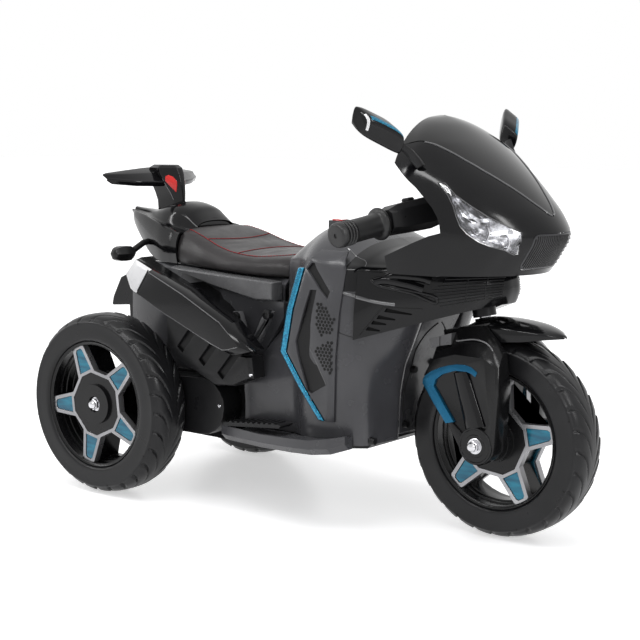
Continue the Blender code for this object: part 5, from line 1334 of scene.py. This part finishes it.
for word, side in SIDES:
    node_name = f"silencer_{word}"
    cuts = [("DIFFERENCE", slab(CAP_ZONE, side * CAP_FROM, side * 0.3))]
    carved(f"silencer_box_{word}", blank_of(node_name), cuts, gloss, "trike_frame",
           (node_name,), 30, 0.0030)
    # The cap's near-white colour is partly its own pale plastic and partly a painted highlight.
    cuts = [("INTERSECT", slab(CAP_ZONE, side * CAP_FROM, side * 0.3))]
    carved(f"silencer_cap_{word}", blank_of(node_name), cuts, cap_white_and_highlight, "trike_frame", (), 30,
           0.0022)
    loose = blank_of(node_name)
    silencer_surface = surface_of(loose)
    bpy.data.objects.remove(loose)
    # Bars of the lighter edge colour along the top and lower edges: painted highlight.
    edges = [face_edge(silencer_surface, SILENCER_TOP_RUN, side, -0.0005),
             face_edge(silencer_surface, SILENCER_LOW_RUN, side, 0.0005)]
    lines(f"silencer_edges_{word}", edges, 0.0008, painted_highlight_edge, "trike_frame")
    seam = [(x, side * CAP_SEAM_OUT, z) for x, z in CAP_SEAM]
    lines(f"silencer_cap_seam_{word}", [seam], 0.0009, satin, "trike_frame")
    node_name = f"ribbed_cover_{word}"
    cuts = [("DIFFERENCE", band(run, GROOVE_HALF, GROOVE_FLOOR, 0.30, side)) for run in RIB_GROOVES]
    carved(f"ribbed_cover_panel_{word}", blank_of(node_name), cuts, satin, "trike_frame",
           (node_name,), 30, 0.0020)
    # The struts take the lighter panel grey, a painted highlight that picks them out against the dark behind.
    for number, (outline, slot) in enumerate(zip(STRUTS, STRUT_SLOTS)):
        cuts = [("DIFFERENCE", slab(slot, side * 0.1290, side * 0.20))]
        blank = blank_from("strut", slab(outline, side * STRUT_LOW, side * STRUT_HIGH))
        carved(f"dummy_strut_{word}_{number}", blank, cuts, side_grey, "trike_frame", (),
               30, 0.0014)
    put(f"strut_panel_{word}", slab(STRUT_PANEL, side * PANEL_LOW, side * PANEL_HIGH), body_grey,
        "trike_frame")
    heads = [lathe(BOLT_PROFILE, 24, (x, 0, z), side) for x, z in BOLTS]
    put(f"strut_bolts_{word}", joined_mesh(heads), satin, "trike_frame")

# Fairing and windscreen
# One blow-smooth hood of gloss black ABS from the screen to the nose. The smoked screen is a
# separate bulging panel let into it, with a shadow gap and a moulded edge all round whose lighter
# colour is a painted highlight.
HOOD_LEVELS = [
    (0.4020, 0.3805, 0.1460), (0.4300, 0.3995, 0.1510), (0.4580, 0.4135, 0.1530), (0.4850, 0.4005, 0.1535),
    (0.5150, 0.3725, 0.1500), (0.5450, 0.3405, 0.1410), (0.5750, 0.3045, 0.1220), (0.6000, 0.2705, 0.0950),
    (0.6180, 0.2425, 0.0640), (0.6280, 0.2205, 0.0340), (0.6320, 0.2075, 0.0),
]
HOOD_STEPS = 76
HOOD_TURN = 26
HOOD_REAR = 0.1725
HOOD_BACK = 0.2275
HOOD_WALL = 0.0028


def hood_level(share):
    z, nose, width = along_line(HOOD_LEVELS, share)
    return z, nose, max(0.0, width)


def hood_row(share):
    """Half a level of the hood, from the nose round to its rear edge on the left."""
    z, nose, width = hood_level(share)
    straight = min(HOOD_BACK, HOOD_REAR + 0.5 * (nose - HOOD_REAR))
    reach = nose - straight
    row = []
    for k in range(HOOD_TURN + 1):
        t = k / HOOD_TURN
        a, b, c, d = (1 - t) ** 3, 3 * t * (1 - t) ** 2, 3 * t * t * (1 - t), t ** 3
        x = a * nose + b * nose + c * (straight + 0.58 * reach) + d * straight
        y = b * 0.45 * width + c * width + d * width
        row.append((x, y, z))
    row += [(straight + (HOOD_REAR - straight) * k / 8, width, z) for k in range(1, 9)]
    return row


hood_rows = [hood_row(k / HOOD_STEPS) for k in range(HOOD_STEPS + 1)]


def hood_at(z):
    """The hood's half row at a height."""
    for low, high in zip(hood_rows, hood_rows[1:]):
        if low[0][2] <= z <= high[0][2]:
            share = (z - low[0][2]) / max(1e-9, high[0][2] - low[0][2])
            return [tuple(p + (q - p) * share for p, q in zip(a, b)) for a, b in zip(low, high)]
    return hood_rows[0]


def hood_side(x, z):
    """Half width of the hood at a length and a height."""
    row = hood_at(z)
    for a, b in zip(row, row[1:]):
        if b[0] <= x <= a[0]:
            return a[1] + (b[1] - a[1]) * (a[0] - x) / max(1e-9, a[0] - b[0])
    return row[-1][1] if x < row[-1][0] else 0.0


def mirrored_rows(rows):
    return [[(x, -y, z) for x, y, z in reversed(row)] + row[1:] for row in rows]


REAR_EDGE = [(0.150, 0.665), (0.1965, 0.645), (0.2035, 0.597), (0.2075, 0.562), (0.2235, 0.5500),
             (0.2385, 0.5390), (0.2540, 0.5280), (0.2685, 0.5140), (0.2810, 0.5010), (0.2895, 0.4880),
             (0.2940, 0.4760), (0.2955, 0.4650), (0.2785, 0.4600), (0.2055, 0.427), (0.2085, 0.398),
             (0.150, 0.390)]
SCREEN_EDGE = [(0.3980, 0.0), (0.3965, 0.0060), (0.3890, 0.0135), (0.3775, 0.0230), (0.3600, 0.0350),
               (0.3425, 0.0475), (0.3180, 0.0635), (0.2925, 0.0775), (0.2680, 0.0890), (0.2425, 0.0995),
               (0.2000, 0.1120), (0.1525, 0.1215)]
SCREEN_LOW = 0.472
SCREEN_HIGH = 0.606
SHADOW_GAP = 0.0012
LAMP_EDGE = [(0.2809, 0.5359), (0.2903, 0.5352), (0.3065, 0.5192), (0.3280, 0.5039), (0.3511, 0.4885),
             (0.3718, 0.4762), (0.3878, 0.4665), (0.3880, 0.4572), (0.3812, 0.4358), (0.3769, 0.4348),
             (0.3700, 0.4420), (0.3549, 0.4477), (0.3429, 0.4540), (0.3296, 0.4649), (0.3205, 0.4757),
             (0.3147, 0.4881), (0.3078, 0.5036), (0.2975, 0.5191)]
LAMP_INNER = 0.0575
LAMP_MIDDLE = (0.347, 0.478)
GRILLE_HALF = 0.0555
GRILLE_LOW = 0.4105
GRILLE_HIGH = 0.4640


def screen_tool(inset):
    half = [(x - 1.5 * inset, max(0.0, y - inset)) for x, y in SCREEN_EDGE]
    return slab(half[::-1][:-1] + [half[0]] + [(x, -y) for x, y in half[1:]], SCREEN_LOW + inset, 0.70, "xy")


def lamp_tool(side, inset):
    middle = Vector(LAMP_MIDDLE)
    outline = []
    for x, z in LAMP_EDGE:
        away = Vector((x, z)) - middle
        outline.append(tuple(middle + away * (1 - 1.6 * inset / away.length)))
    return slab(outline, side * (LAMP_INNER + inset), side * 0.20)


def grille_tool(inset):
    low, high, half, corner = GRILLE_LOW + inset, GRILLE_HIGH - inset, GRILLE_HALF - inset, 0.010
    section = []
    for sy, sz in ((-1, -1), (1, -1), (1, 1), (-1, 1)):
        for k in range(5):
            start = {(-1, -1): 180, (1, -1): 270, (1, 1): 0, (-1, 1): 90}[(sy, sz)]
            angle = math.radians(start + 22.5 * k)
            middle_y = sy * (half - corner)
            middle_z = (low if sz < 0 else high) - sz * corner
            section.append((middle_y + corner * math.cos(angle), middle_z + corner * math.sin(angle)))
    return slab(section, 0.30, 0.47, "yz")


hood_grid = mirrored_rows(hood_rows)
HOOD_HEART = (0.27, 0, 0.46)
LEDGE_PLAN = [(0.2175, 0.1440), (0.2175, 0.1100), (0.2725, 0.0750), (0.2845, 0.0750), (0.2845, 0.1318)]
cuts = [("UNION", slab([(x, side * y) for x, y in LEDGE_PLAN], 0.4008, 0.4048, "xy"))
        for side in (RIGHT, LEFT)]
cuts += [("DIFFERENCE", slab(REAR_EDGE, -0.3, 0.3)), ("DIFFERENCE", screen_tool(0)),
         ("DIFFERENCE", grille_tool(0)), ("DIFFERENCE", lamp_tool(RIGHT, 0)),
         ("DIFFERENCE", lamp_tool(LEFT, 0))]
screen_black = finish("smoked screen plastic", (0.0020, 0.0020, 0.0023), (0.0035, 0.0035, 0.0040),
                      0.07, 0.015, 200, 0.00001, shine=0.40)
carved("fairing_shell", shell("fairing", hood_grid, HOOD_WALL, HOOD_HEART), cuts, gloss, "trike_frame",
       ("fairing",))
cuts = [("INTERSECT", screen_tool(SHADOW_GAP)), ("DIFFERENCE", slab(REAR_EDGE, -0.3, 0.3))]
carved("windscreen_shell", shell("windscreen", hood_grid, HOOD_WALL, HOOD_HEART), cuts, screen_black,
       "trike_frame", ("windscreen",))


def on_hood(x, z, side, out=0.0):
    return (x, side * (hood_side(x, z) + out), z)


def screen_half(x):
    """Half width of the screen's outline at a length, below zero ahead of its tip."""
    if x > SCREEN_EDGE[0][0]:
        return -1.0
    for (x0, y0), (x1, y1) in zip(SCREEN_EDGE, SCREEN_EDGE[1:]):
        if x1 <= x <= x0:
            return y0 + (y1 - y0) * (x0 - x) / (x0 - x1)
    return SCREEN_EDGE[-1][1]


def screen_line(side, outset):
    """Where the screen's edge meets the hood, from the top rear down to the tip."""
    route = []
    for k in range(90):
        z = SCREEN_HIGH - (SCREEN_HIGH - SCREEN_LOW) * k / 89
        row = hood_at(z)
        for a, b in zip(row, row[1:]):
            inside, outside = a[1] - screen_half(a[0]) - outset, b[1] - screen_half(b[0]) - outset
            if inside <= 0 < outside:
                share = inside / (inside - outside)
                x, y = a[0] + (b[0] - a[0]) * share, a[1] + (b[1] - a[1]) * share
                route.append((x, side * y, z))
                break
    return route


# The screen's edge is a bar of the lighter edge colour, a painted highlight.
lines("screen_edges", [screen_line(side, 0.0008) for side in (RIGHT, LEFT)], 0.0017, painted_highlight_edge,
      "trike_frame")

# Headlights
# A clear polycarbonate lens over a faceted chrome reflector with two round bowls, whose patches of
# near black and bright in the chrome's colour are a painted reflection, let into the hood with a
# moulded edge all round whose lighter colour is a painted highlight. The tip runs up the side of the hood.
lens_clear = bpy.data.materials.new("clear lens")
lens_clear.use_nodes = True
nodes, wires = lens_clear.node_tree.nodes, lens_clear.node_tree.links
glass = nodes["Principled BSDF"]
glass.inputs["Roughness"].default_value = 0.02
glass.inputs["IOR"].default_value = 1.45
glass.inputs["Transmission Weight"].default_value = 1.0
tint = nodes.new("ShaderNodeTexNoise")
tint.inputs["Scale"].default_value = 40.0
clear = nodes.new("ShaderNodeValToRGB")
clear.color_ramp.elements[0].color = (0.93, 0.94, 0.96, 1.0)
clear.color_ramp.elements[1].color = (0.99, 0.99, 1.0, 1.0)
place = nodes.new("ShaderNodeTexCoord")
wires.new(place.outputs["Object"], tint.inputs["Vector"])
wires.new(tint.outputs["Fac"], clear.inputs["Fac"])
wires.new(clear.outputs["Color"], glass.inputs["Base Color"])
# Chrome whose colour runs in patches from near black to bright: painted reflection on real metal.
painted_reflection_chrome = finish("chrome with painted reflections", (0.05, 0.05, 0.055), (0.86, 0.86, 0.88), 0.10, 0.05, 700, 0.00005, 1.0,
                patch_scale=60)
REFLECTOR_ROWS = 15
REFLECTOR_COLUMNS = 7
LAMP_TIP = 0.2845
LAMP_NOSE = 0.3866
BOWLS = [(0.3460, 0.4660, 0.0105), (0.3690, 0.4530, 0.0090)]


def lamp_span(share):
    """Upper and lower edge of the lamp at a share of its length, from the tip to the nose."""
    x = LAMP_TIP + (LAMP_NOSE - LAMP_TIP) * share
    crossings = []
    count = len(LAMP_EDGE)
    for i in range(count):
        (x0, z0), (x1, z1) = LAMP_EDGE[i], LAMP_EDGE[(i + 1) % count]
        if (x0 - x) * (x1 - x) <= 0 and x0 != x1:
            crossings.append(z0 + (z1 - z0) * (x - x0) / (x1 - x0))
    return x, max(crossings), min(crossings)


for word, side in SIDES:
    cuts = [("INTERSECT", lamp_tool(side, 0.0006))]
    carved(f"headlight_lens_{word}", shell("lens", hood_grid, 0.0016, HOOD_HEART), cuts, lens_clear,
           "trike_frame", (f"headlight_{word}",))
    rows = []
    for i in range(REFLECTOR_ROWS + 1):
        x, top, low = lamp_span(i / REFLECTOR_ROWS)
        row = []
        for k in range(REFLECTOR_COLUMNS + 1):
            share = k / REFLECTOR_COLUMNS
            z = low + (top - low) * (0.02 + 0.96 * share)
            bowl = math.sin(math.pi * share) * math.sin(math.pi * min(1.0, 0.06 + 0.94 * i / REFLECTOR_ROWS))
            facet = 0.0035 * ((i * 5 + k * 3) % 4) / 3
            deep = 0.0032 + 0.0130 * bowl + facet * (0 < k < REFLECTOR_COLUMNS)
            y = max(LAMP_INNER - 0.004, hood_side(x - 0.25 * deep, z) - deep)
            row.append((x - 0.25 * deep, side * y, z))
        rows.append(row)
    bm = bmesh.new()
    grid = [[bm.verts.new(p) for p in row] for row in rows]
    for low_row, high_row in zip(grid, grid[1:]):
        for i in range(REFLECTOR_COLUMNS):
            a, b, c, d = low_row[i], low_row[i + 1], high_row[i + 1], high_row[i]
            bm.faces.new((a, b, c))
            bm.faces.new((a, c, d))
    bm.normal_update()
    if sum(f.normal.y * side for f in bm.faces) < 0:
        bmesh.ops.reverse_faces(bm, faces=bm.faces)
    put(f"headlight_reflector_{word}", bm, painted_reflection_chrome, "trike_frame", (), 3)
    bowls = []
    for x, z, radius in BOWLS:
        y = hood_side(x, z) - 0.0060
        ring = [(radius, 0.0010), (radius + 0.0012, 0.0020), (radius + 0.0016, 0.0004),
                (radius * 0.72, -0.0055), (radius * 0.35, -0.0075), (0.0, -0.0078), (0.0, -0.0070),
                (radius * 0.33, -0.0067), (radius * 0.68, -0.0048)]
        bowls.append(lathe(ring, 28, (x, side * y, z), side))
    put(f"headlight_bowls_{word}", joined_mesh(bowls), painted_reflection_chrome, "trike_frame")
    # The lamp's border is a bar of the lighter edge colour, a painted highlight.
    border = [on_hood(x, z, side, 0.0001) for x, z in LAMP_EDGE + LAMP_EDGE[:1]
              if hood_side(x, z) > LAMP_INNER]
    lines(f"headlight_seat_{word}", [border], 0.0009, painted_highlight_edge, "trike_frame")

# Grille
# A satin black polypropylene insert clipped into the nose, with upright ribs across most of its
# width and level ribs at its left end.
grille_black = finish("grille plastic", (0.034, 0.034, 0.037), (0.060, 0.060, 0.064), 0.35, 0.05, 420, 0.0001)
cuts = [("INTERSECT", grille_tool(0.0006))]
carved("grille_plate", shell("grille_skin", hood_grid, 0.0024, HOOD_HEART), cuts, grille_black, "trike_frame",
       ("grille",))
UPRIGHT_RIBS = 21
LEVEL_RIBS = 8


def hood_nose(y, z):
    """Length of the hood's nose at a distance from the middle."""
    row = hood_at(z)
    for a, b in zip(row, row[1:]):
        if a[1] <= abs(y) <= b[1]:
            return a[0] + (b[0] - a[0]) * (abs(y) - a[1]) / max(1e-9, b[1] - a[1])
    return row[-1][0]


ribs = []
for k in range(UPRIGHT_RIBS):
    y = -GRILLE_HALF + 0.0045 + 0.0740 * k / (UPRIGHT_RIBS - 1)
    drawn = 0.004 if abs(y) > GRILLE_HALF - 0.008 else 0.0
    low, high = GRILLE_LOW + 0.003 + drawn, GRILLE_HIGH - 0.003 - drawn
    ribs.append([(hood_nose(y, z) + 0.0004, y, z) for z in [low + (high - low) * i / 7 for i in range(8)]])
for k in range(LEVEL_RIBS):
    z = GRILLE_LOW + 0.0055 + 0.0430 * k / (LEVEL_RIBS - 1)
    ribs.append([(hood_nose(y, z) + 0.0004, y, z) for y in [0.0268 + 0.0235 * i / 7 for i in range(8)]])
lines("grille_ribs", ribs, 0.0010, gloss, "trike_frame", 6)

# Mirrors
# Moulded gloss black housings on a tapered arm, which tilt by hand. A metallic blue strip lies in
# the front upper edge, and a near-white patch at the tip is a painted highlight.
MIRROR_STATIONS = [(0.2262, 0.1560, 0.5950, 0.0095, 0.0105), (0.2255, 0.1580, 0.5968, 0.0135, 0.0145),
                   (0.2205, 0.1670, 0.6025, 0.0148, 0.0165), (0.2120, 0.1820, 0.6105, 0.0152, 0.0165),
                   (0.2045, 0.1960, 0.6175, 0.0150, 0.0160), (0.2000, 0.2050, 0.6215, 0.0140, 0.0142),
                   (0.1985, 0.2085, 0.6230, 0.0105, 0.0110)]
MIRROR_SECTION = [(-0.90, -0.85), (-1.0, 0.0), (-0.88, 0.88), (-0.10, 1.0), (0.74, 0.96), (1.0, 0.62),
                  (1.0, -0.20), (0.70, -0.90), (-0.20, -1.0)]
ARM_STATIONS = [(0.2550, 0.1330, 0.5580, 0.0066), (0.2490, 0.1345, 0.5650, 0.0074),
                (0.2400, 0.1400, 0.5780, 0.0066), (0.2262, 0.1560, 0.5930, 0.0058)]
BLUE_COLUMNS = (15, 19)
BLUE_ROWS = (8, 34)
STRIP_HEART = (0.2120, 0.1820, 0.6105)
TIP_COLUMNS = (14, 25)
TIP_ROWS = (36, 41)
TIP_HEART = (0.2000, 0.2040, 0.6235)
for word, side in SIDES:
    rings = []
    for x, y, z, deep, tall in MIRROR_STATIONS:
        rings.append([(x + deep * (a + 0.30 * b), side * y, z + tall * b - 0.010 * a)
                      for a, b in MIRROR_SECTION])
    closed = [ring + ring[:1] for ring in rings]
    grid = refined(closed, 4, 7)
    body = f"mirror_{word}"
    put(f"mirror_housing_{word}", lofted([row[:-1] for row in grid]), gloss, body, (body,), 40)
    patch = [row[slice(*BLUE_COLUMNS)] for row in grid[slice(*BLUE_ROWS)]]
    middle = Vector(on_side(STRIP_HEART, side))
    lifted = []
    for row in patch:
        inner = [Vector((middle.x, p[1], middle.z + 0.55 * (abs(middle.y) - abs(p[1])))) for p in row]
        lifted.append([tuple(Vector(p) + (Vector(p) - m).normalized() * 0.0006) for p, m in zip(row, inner)])
    blank = shell(f"mirror_strip_{word}", lifted, 0.0012, middle)
    carved(f"mirror_blue_{word}", blank, [], blue_metal, body, (), 50)
    # The near-white tip is a painted highlight.
    tip = [row[slice(*TIP_COLUMNS)] for row in grid[slice(*TIP_ROWS)]]
    heart = Vector(on_side(TIP_HEART, side))
    lifted = [[tuple(Vector(p) + (Vector(p) - heart).normalized() * 0.0006) for p in row] for row in tip]
    carved(f"mirror_tip_{word}", shell(f"mirror_tip_{word}", lifted, 0.0012, heart), [], cap_white_and_highlight, body,
           (), 50)
    arm = []
    for x, y, z, radius in ARM_STATIONS:
        turns = [(math.cos(2 * math.pi * k / 16), math.sin(2 * math.pi * k / 16)) for k in range(16)]
        arm.append([(x + radius * c, side * (y + 0.55 * radius * s), z + 0.5 * radius * c) for c, s in turns])
    put(f"mirror_arm_{word}", lofted(arm), satin, body)

# Fork and mudguard
# Two moulded nylon legs joined by a crown over the wheel. Each outer face has a sunk panel with a
# rounded rib down to the axle boss and a blue hook-shaped trim, and the gloss mudguard bolts on
# in front of the crown.
RAKE = math.radians(12.5)
FORK_FACE = 0.085
steering_frame = Matrix.Translation(front_centre) @ Matrix.Rotation(-RAKE, 4, "Y")


def raked(bm):
    """Carry a mesh from the steering axis frame to the row frame."""
    bm.transform(steering_frame)
    return bm


SUNK_PANEL = [(-0.0563, 0.0940), (-0.0519, 0.1049), (-0.0379, 0.1124), (-0.0129, 0.1150), (0.0077, 0.1113),
              (0.0213, 0.1006), (0.0330, 0.0930), (0.0310, 0.0300), (0.0200, 0.0200), (-0.0200, 0.0210),
              (-0.0330, 0.0374), (-0.0459, 0.0699)]
HOOK = [(-0.0448, 0.0377), (-0.0609, 0.0704), (-0.0745, 0.1015), (-0.0722, 0.1082), (-0.0670, 0.1130),
        (-0.0545, 0.1182), (-0.0384, 0.1216), (-0.0230, 0.1231), (-0.0081, 0.1230), (0.0060, 0.1205),
        (0.0160, 0.1160), (0.0250, 0.1070), (0.0200, 0.1004), (0.0140, 0.1058), (0.0070, 0.1098),
        (-0.0129, 0.1136), (-0.0360, 0.1108), (-0.0498, 0.1042), (-0.0550, 0.0950), (-0.0445, 0.0709),
        (-0.0298, 0.0384)]
CROWN_EDGE = [(-0.0120, 0.1570), (-0.0069, 0.1563), (0.0196, 0.1550), (0.0390, 0.1467), (0.0469, 0.1343),
              (0.0446, 0.1234)]
LOCK_BOXES = [[(0.2348, 0.2990), (0.2530, 0.3045), (0.2530, 0.2900), (0.2389, 0.2855)],
              [(0.2545, 0.3050), (0.2739, 0.3114), (0.2739, 0.2942), (0.2545, 0.2905)]]
LOCK_SPAN = (-0.0720, -0.0560)
LEG_RIB = [(-0.0197, 0.1103), (0.0059, 0.1106), (0.0208, 0.0268), (-0.0153, 0.0259)]
BOSS_PROFILE = [(0.0080, 0.0790), (0.0080, 0.0862), (0.0165, 0.0864), (0.0172, 0.0856), (0.0240, 0.0856),
                (0.0250, 0.0868), (0.0272, 0.0868), (0.0282, 0.0852), (0.0282, 0.0790)]
fork_black = finish("fork nylon", (0.0055, 0.0055, 0.006), (0.0095, 0.0095, 0.010), 0.20, 0.05, 420, 0.00005)
hook_blue = finish("blue hook plastic", (0.006, 0.075, 0.150), (0.016, 0.135, 0.240), 0.26, 0.05, 900,
                   0.00010, 0.6)
cuts = []
for side in (RIGHT, LEFT):
    cuts.append(("DIFFERENCE", raked(slab(SUNK_PANEL, side * (FORK_FACE - 0.0055), side * 0.12))))
carved("fork_legs", blank_of("fork"), cuts, fork_black, "steering", ("fork",), 30, 0.0030)
for word, side in SIDES:
    rib = []
    for y, grow in ((0.0760, 1.0), (0.0805, 0.98), (0.0835, 0.84), (0.0852, 0.62), (0.0861, 0.36),
                    (0.0865, 0.10)):
        ring = []
        for u, s in LEG_RIB:
            pair = LEG_RIB[:2] if s > 0.06 else LEG_RIB[2:]
            centre = 0.5 * (pair[0][0] + pair[1][0])
            ring.append((centre + (u - centre) * grow, side * y, s))
        rib.append(ring)
    put(f"fork_rib_{word}", raked(lofted(rib)), gloss, "steering", (), 50)
    # The crown's edge is a bar of the lighter edge colour, a painted highlight.
    crown = [tuple(steering_frame @ Vector((u, side * 0.0700, s))) for u, s in
             [along_line(CROWN_EDGE, k / 30) for k in range(31)]]
    lines(f"crown_edge_{word}", [crown], 0.0015, painted_highlight_edge, "steering", 12)
    hook = raked(slab(HOOK, side * (FORK_FACE - 0.0060), side * (FORK_FACE + 0.0010)))
    carved(f"fork_hook_{word}", blank_from("hook", hook), [], hook_blue, "steering", (),
           30, 0.0009)
    put(f"fork_boss_{word}", lathe(BOSS_PROFILE, 56, front_centre, side), fork_black, "steering")

GUARD_STATIONS = [(96, 0.177, 0.86, 0.024), (88, 0.181, 0.97, 0.032), (79.5, 0.1805, 1.0, 0.034),
                  (70, 0.181, 1.0, 0.028), (60, 0.184, 0.92, 0.022), (52, 0.187, 0.62, 0.012),
                  (46, 0.189, 0.10, 0.002)]
GUARD_HALF_WIDTH = 0.0445
GUARD_WALL = 0.0025
lock_grey = finish("die-cast lock", (0.085, 0.085, 0.088), (0.130, 0.130, 0.134), 0.30, 0.05, 600,
                   0.00004, 0.4)
lock = [slab(outline, *LOCK_SPAN) for outline in LOCK_BOXES]
put("steering_lock", joined_mesh(lock), lock_grey, "steering", (), 30)
rows = []
for degrees, radius, width, drop in GUARD_STATIONS:
    angle = math.radians(degrees)
    half = []
    for across, fall in ((1.0, drop), (0.97, drop * 0.35), (0.72, drop * 0.08),
                         (0.36, drop * 0.01 - 0.0015), (0.0, -0.002)):
        place = steering_frame @ Vector(((radius - fall) * math.cos(angle), across * width * GUARD_HALF_WIDTH,
                                         (radius - fall) * math.sin(angle)))
        half.append(tuple(place))
    rows.append(both_sides(half))
blank = shell("mudguard_sheet", refined(rows, 6, 8), GUARD_WALL, front_centre)
carved("mudguard_blade", blank, [], gloss, "steering", ("mudguard",), 36)

# Handlebar and grips
# A steel bar in a moulded clamp with a switch housing each side. Each soft rubber grip has a wide
# round collar, a smooth sleeve, four ring grooves and a flat end with a dimple.
rubber = finish("grip rubber", (0.010, 0.010, 0.0103), (0.015, 0.015, 0.0155), 0.44, 0.06, 700, 0.00012,
                shine=0.40)
softened("handlebar", "handlebar_unit", satin, "steering", 0.0030, 4)
GRIP_START = Vector((-0.0758, 0.1200, 0.3466))
GRIP_RUN = (Vector((-0.0962, 0.2070, 0.3362)) - GRIP_START).normalized()
GRIP_PROFILE = [(0.0102, 0.0020), (0.0215, 0.0020), (0.0238, 0.0032), (0.0247, 0.0056), (0.0240, 0.0084),
                (0.0212, 0.0104), (0.0184, 0.0120), (0.0176, 0.0150), (0.0172, 0.0350), (0.0174, 0.0600)]
GRIP_RINGS = 4
GRIP_RING_PITCH = 0.0056
for ring in range(GRIP_RINGS):
    start = 0.0620 + ring * GRIP_RING_PITCH
    GRIP_PROFILE += [(0.0176, start), (0.0160, start + 0.0004), (0.0160, start + 0.0012),
                     (0.0182, start + 0.0017), (0.0190, start + 0.0030), (0.0190, start + 0.0044)]
GRIP_PROFILE += [(0.0186, 0.0895), (0.0172, 0.0925), (0.0150, 0.0932), (0.0036, 0.0930), (0.0030, 0.0912),
                 (0.0, 0.0910), (0.0, 0.0880), (0.0102, 0.0880)]
KNOB_PROFILE = [(0.0, 0.0), (0.0070, 0.0), (0.0070, 0.0030), (0.0092, 0.0044), (0.0096, 0.0078),
                (0.0082, 0.0098), (0.0, 0.0104)]
KNOB_PLACE = (-0.0520, -0.0780, 0.3690)
for word, side in SIDES:
    run = Vector(on_side(GRIP_RUN, side))
    start = Vector(on_side(GRIP_START, side))
    grip = lathe(GRIP_PROFILE, 48, (0, 0, 0), LEFT, "Z")
    turn = Vector((0, 0, 1)).rotation_difference(run).to_matrix().to_4x4()
    grip.transform(Matrix.Translation(start) @ turn)
    put(f"grip_sleeve_{word}", raked(grip), rubber, "steering", (f"grip_{word}",), 50)
put("choke_knob", raked(lathe(KNOB_PROFILE, 28, KNOB_PLACE, LEFT, "Z")), satin, "steering",
    (), 40)

# Small screws
# Zinc-plated self-tapping screws on each side: three in moulded bosses on the front of the body,
# beside its seam, and three in the covers and the tray.
boss_tree = copies_tree("screw boss", "GeometryNodeMeshCone",
                        {"Vertices": 24, "Radius Top": "Top", "Radius Bottom": "Radius", "Depth": "Depth"},
                        {"Radius": 0.005, "Top": 0.004, "Depth": 0.004})
FRONT_SEAM = [(0.2062, 0.0054, 0.3135), (0.1989, 0.0266, 0.2987), (0.1883, 0.0378, 0.2746),
              (0.1765, 0.0330, 0.2443), (0.1710, 0.0408, 0.2137), (0.1687, 0.0428, 0.1820),
              (0.1678, 0.0373, 0.1480)]
FRONT_SCREWS = [(0.1763, 0.0310, 0.2410), (0.1678, 0.0374, 0.1541), (0.1672, 0.1240, 0.1415)]
SIDE_SCREWS = [(-0.1173, 0.1480, 0.1626), (-0.0345, 0.1680, 0.2253), (-0.1306, 0.1020, 0.1080)]
for word, side in SIDES:
    # The front seam is a near-black line: painted shade in the join of the halves.
    seam = [(x + 0.0002, side * y, z) for x, y, z in [along_line(FRONT_SEAM, k / 40) for k in range(41)]]
    lines(f"front_seam_{word}", [seam], 0.0010, painted_shade_black, "trike_frame")
    front = [(on_side(place, side), (1, 0, 0)) for place in FRONT_SCREWS]
    grown(f"screw_bosses_{word}", front, boss_tree,
          {"Radius": 0.0062, "Top": 0.0052, "Depth": 0.0080, "Material": satin}, "trike_frame")
    heads = [((x + 0.0040, y, z), facing) for (x, y, z), facing in front]
    heads += [((x, side * (y + 0.0004), z), (0, side, 0)) for x, y, z in SIDE_SCREWS]
    grown(f"screw_heads_{word}", heads, boss_tree,
          {"Radius": 0.0030, "Top": 0.0022, "Depth": 0.0016, "Material": zinc}, "trike_frame")
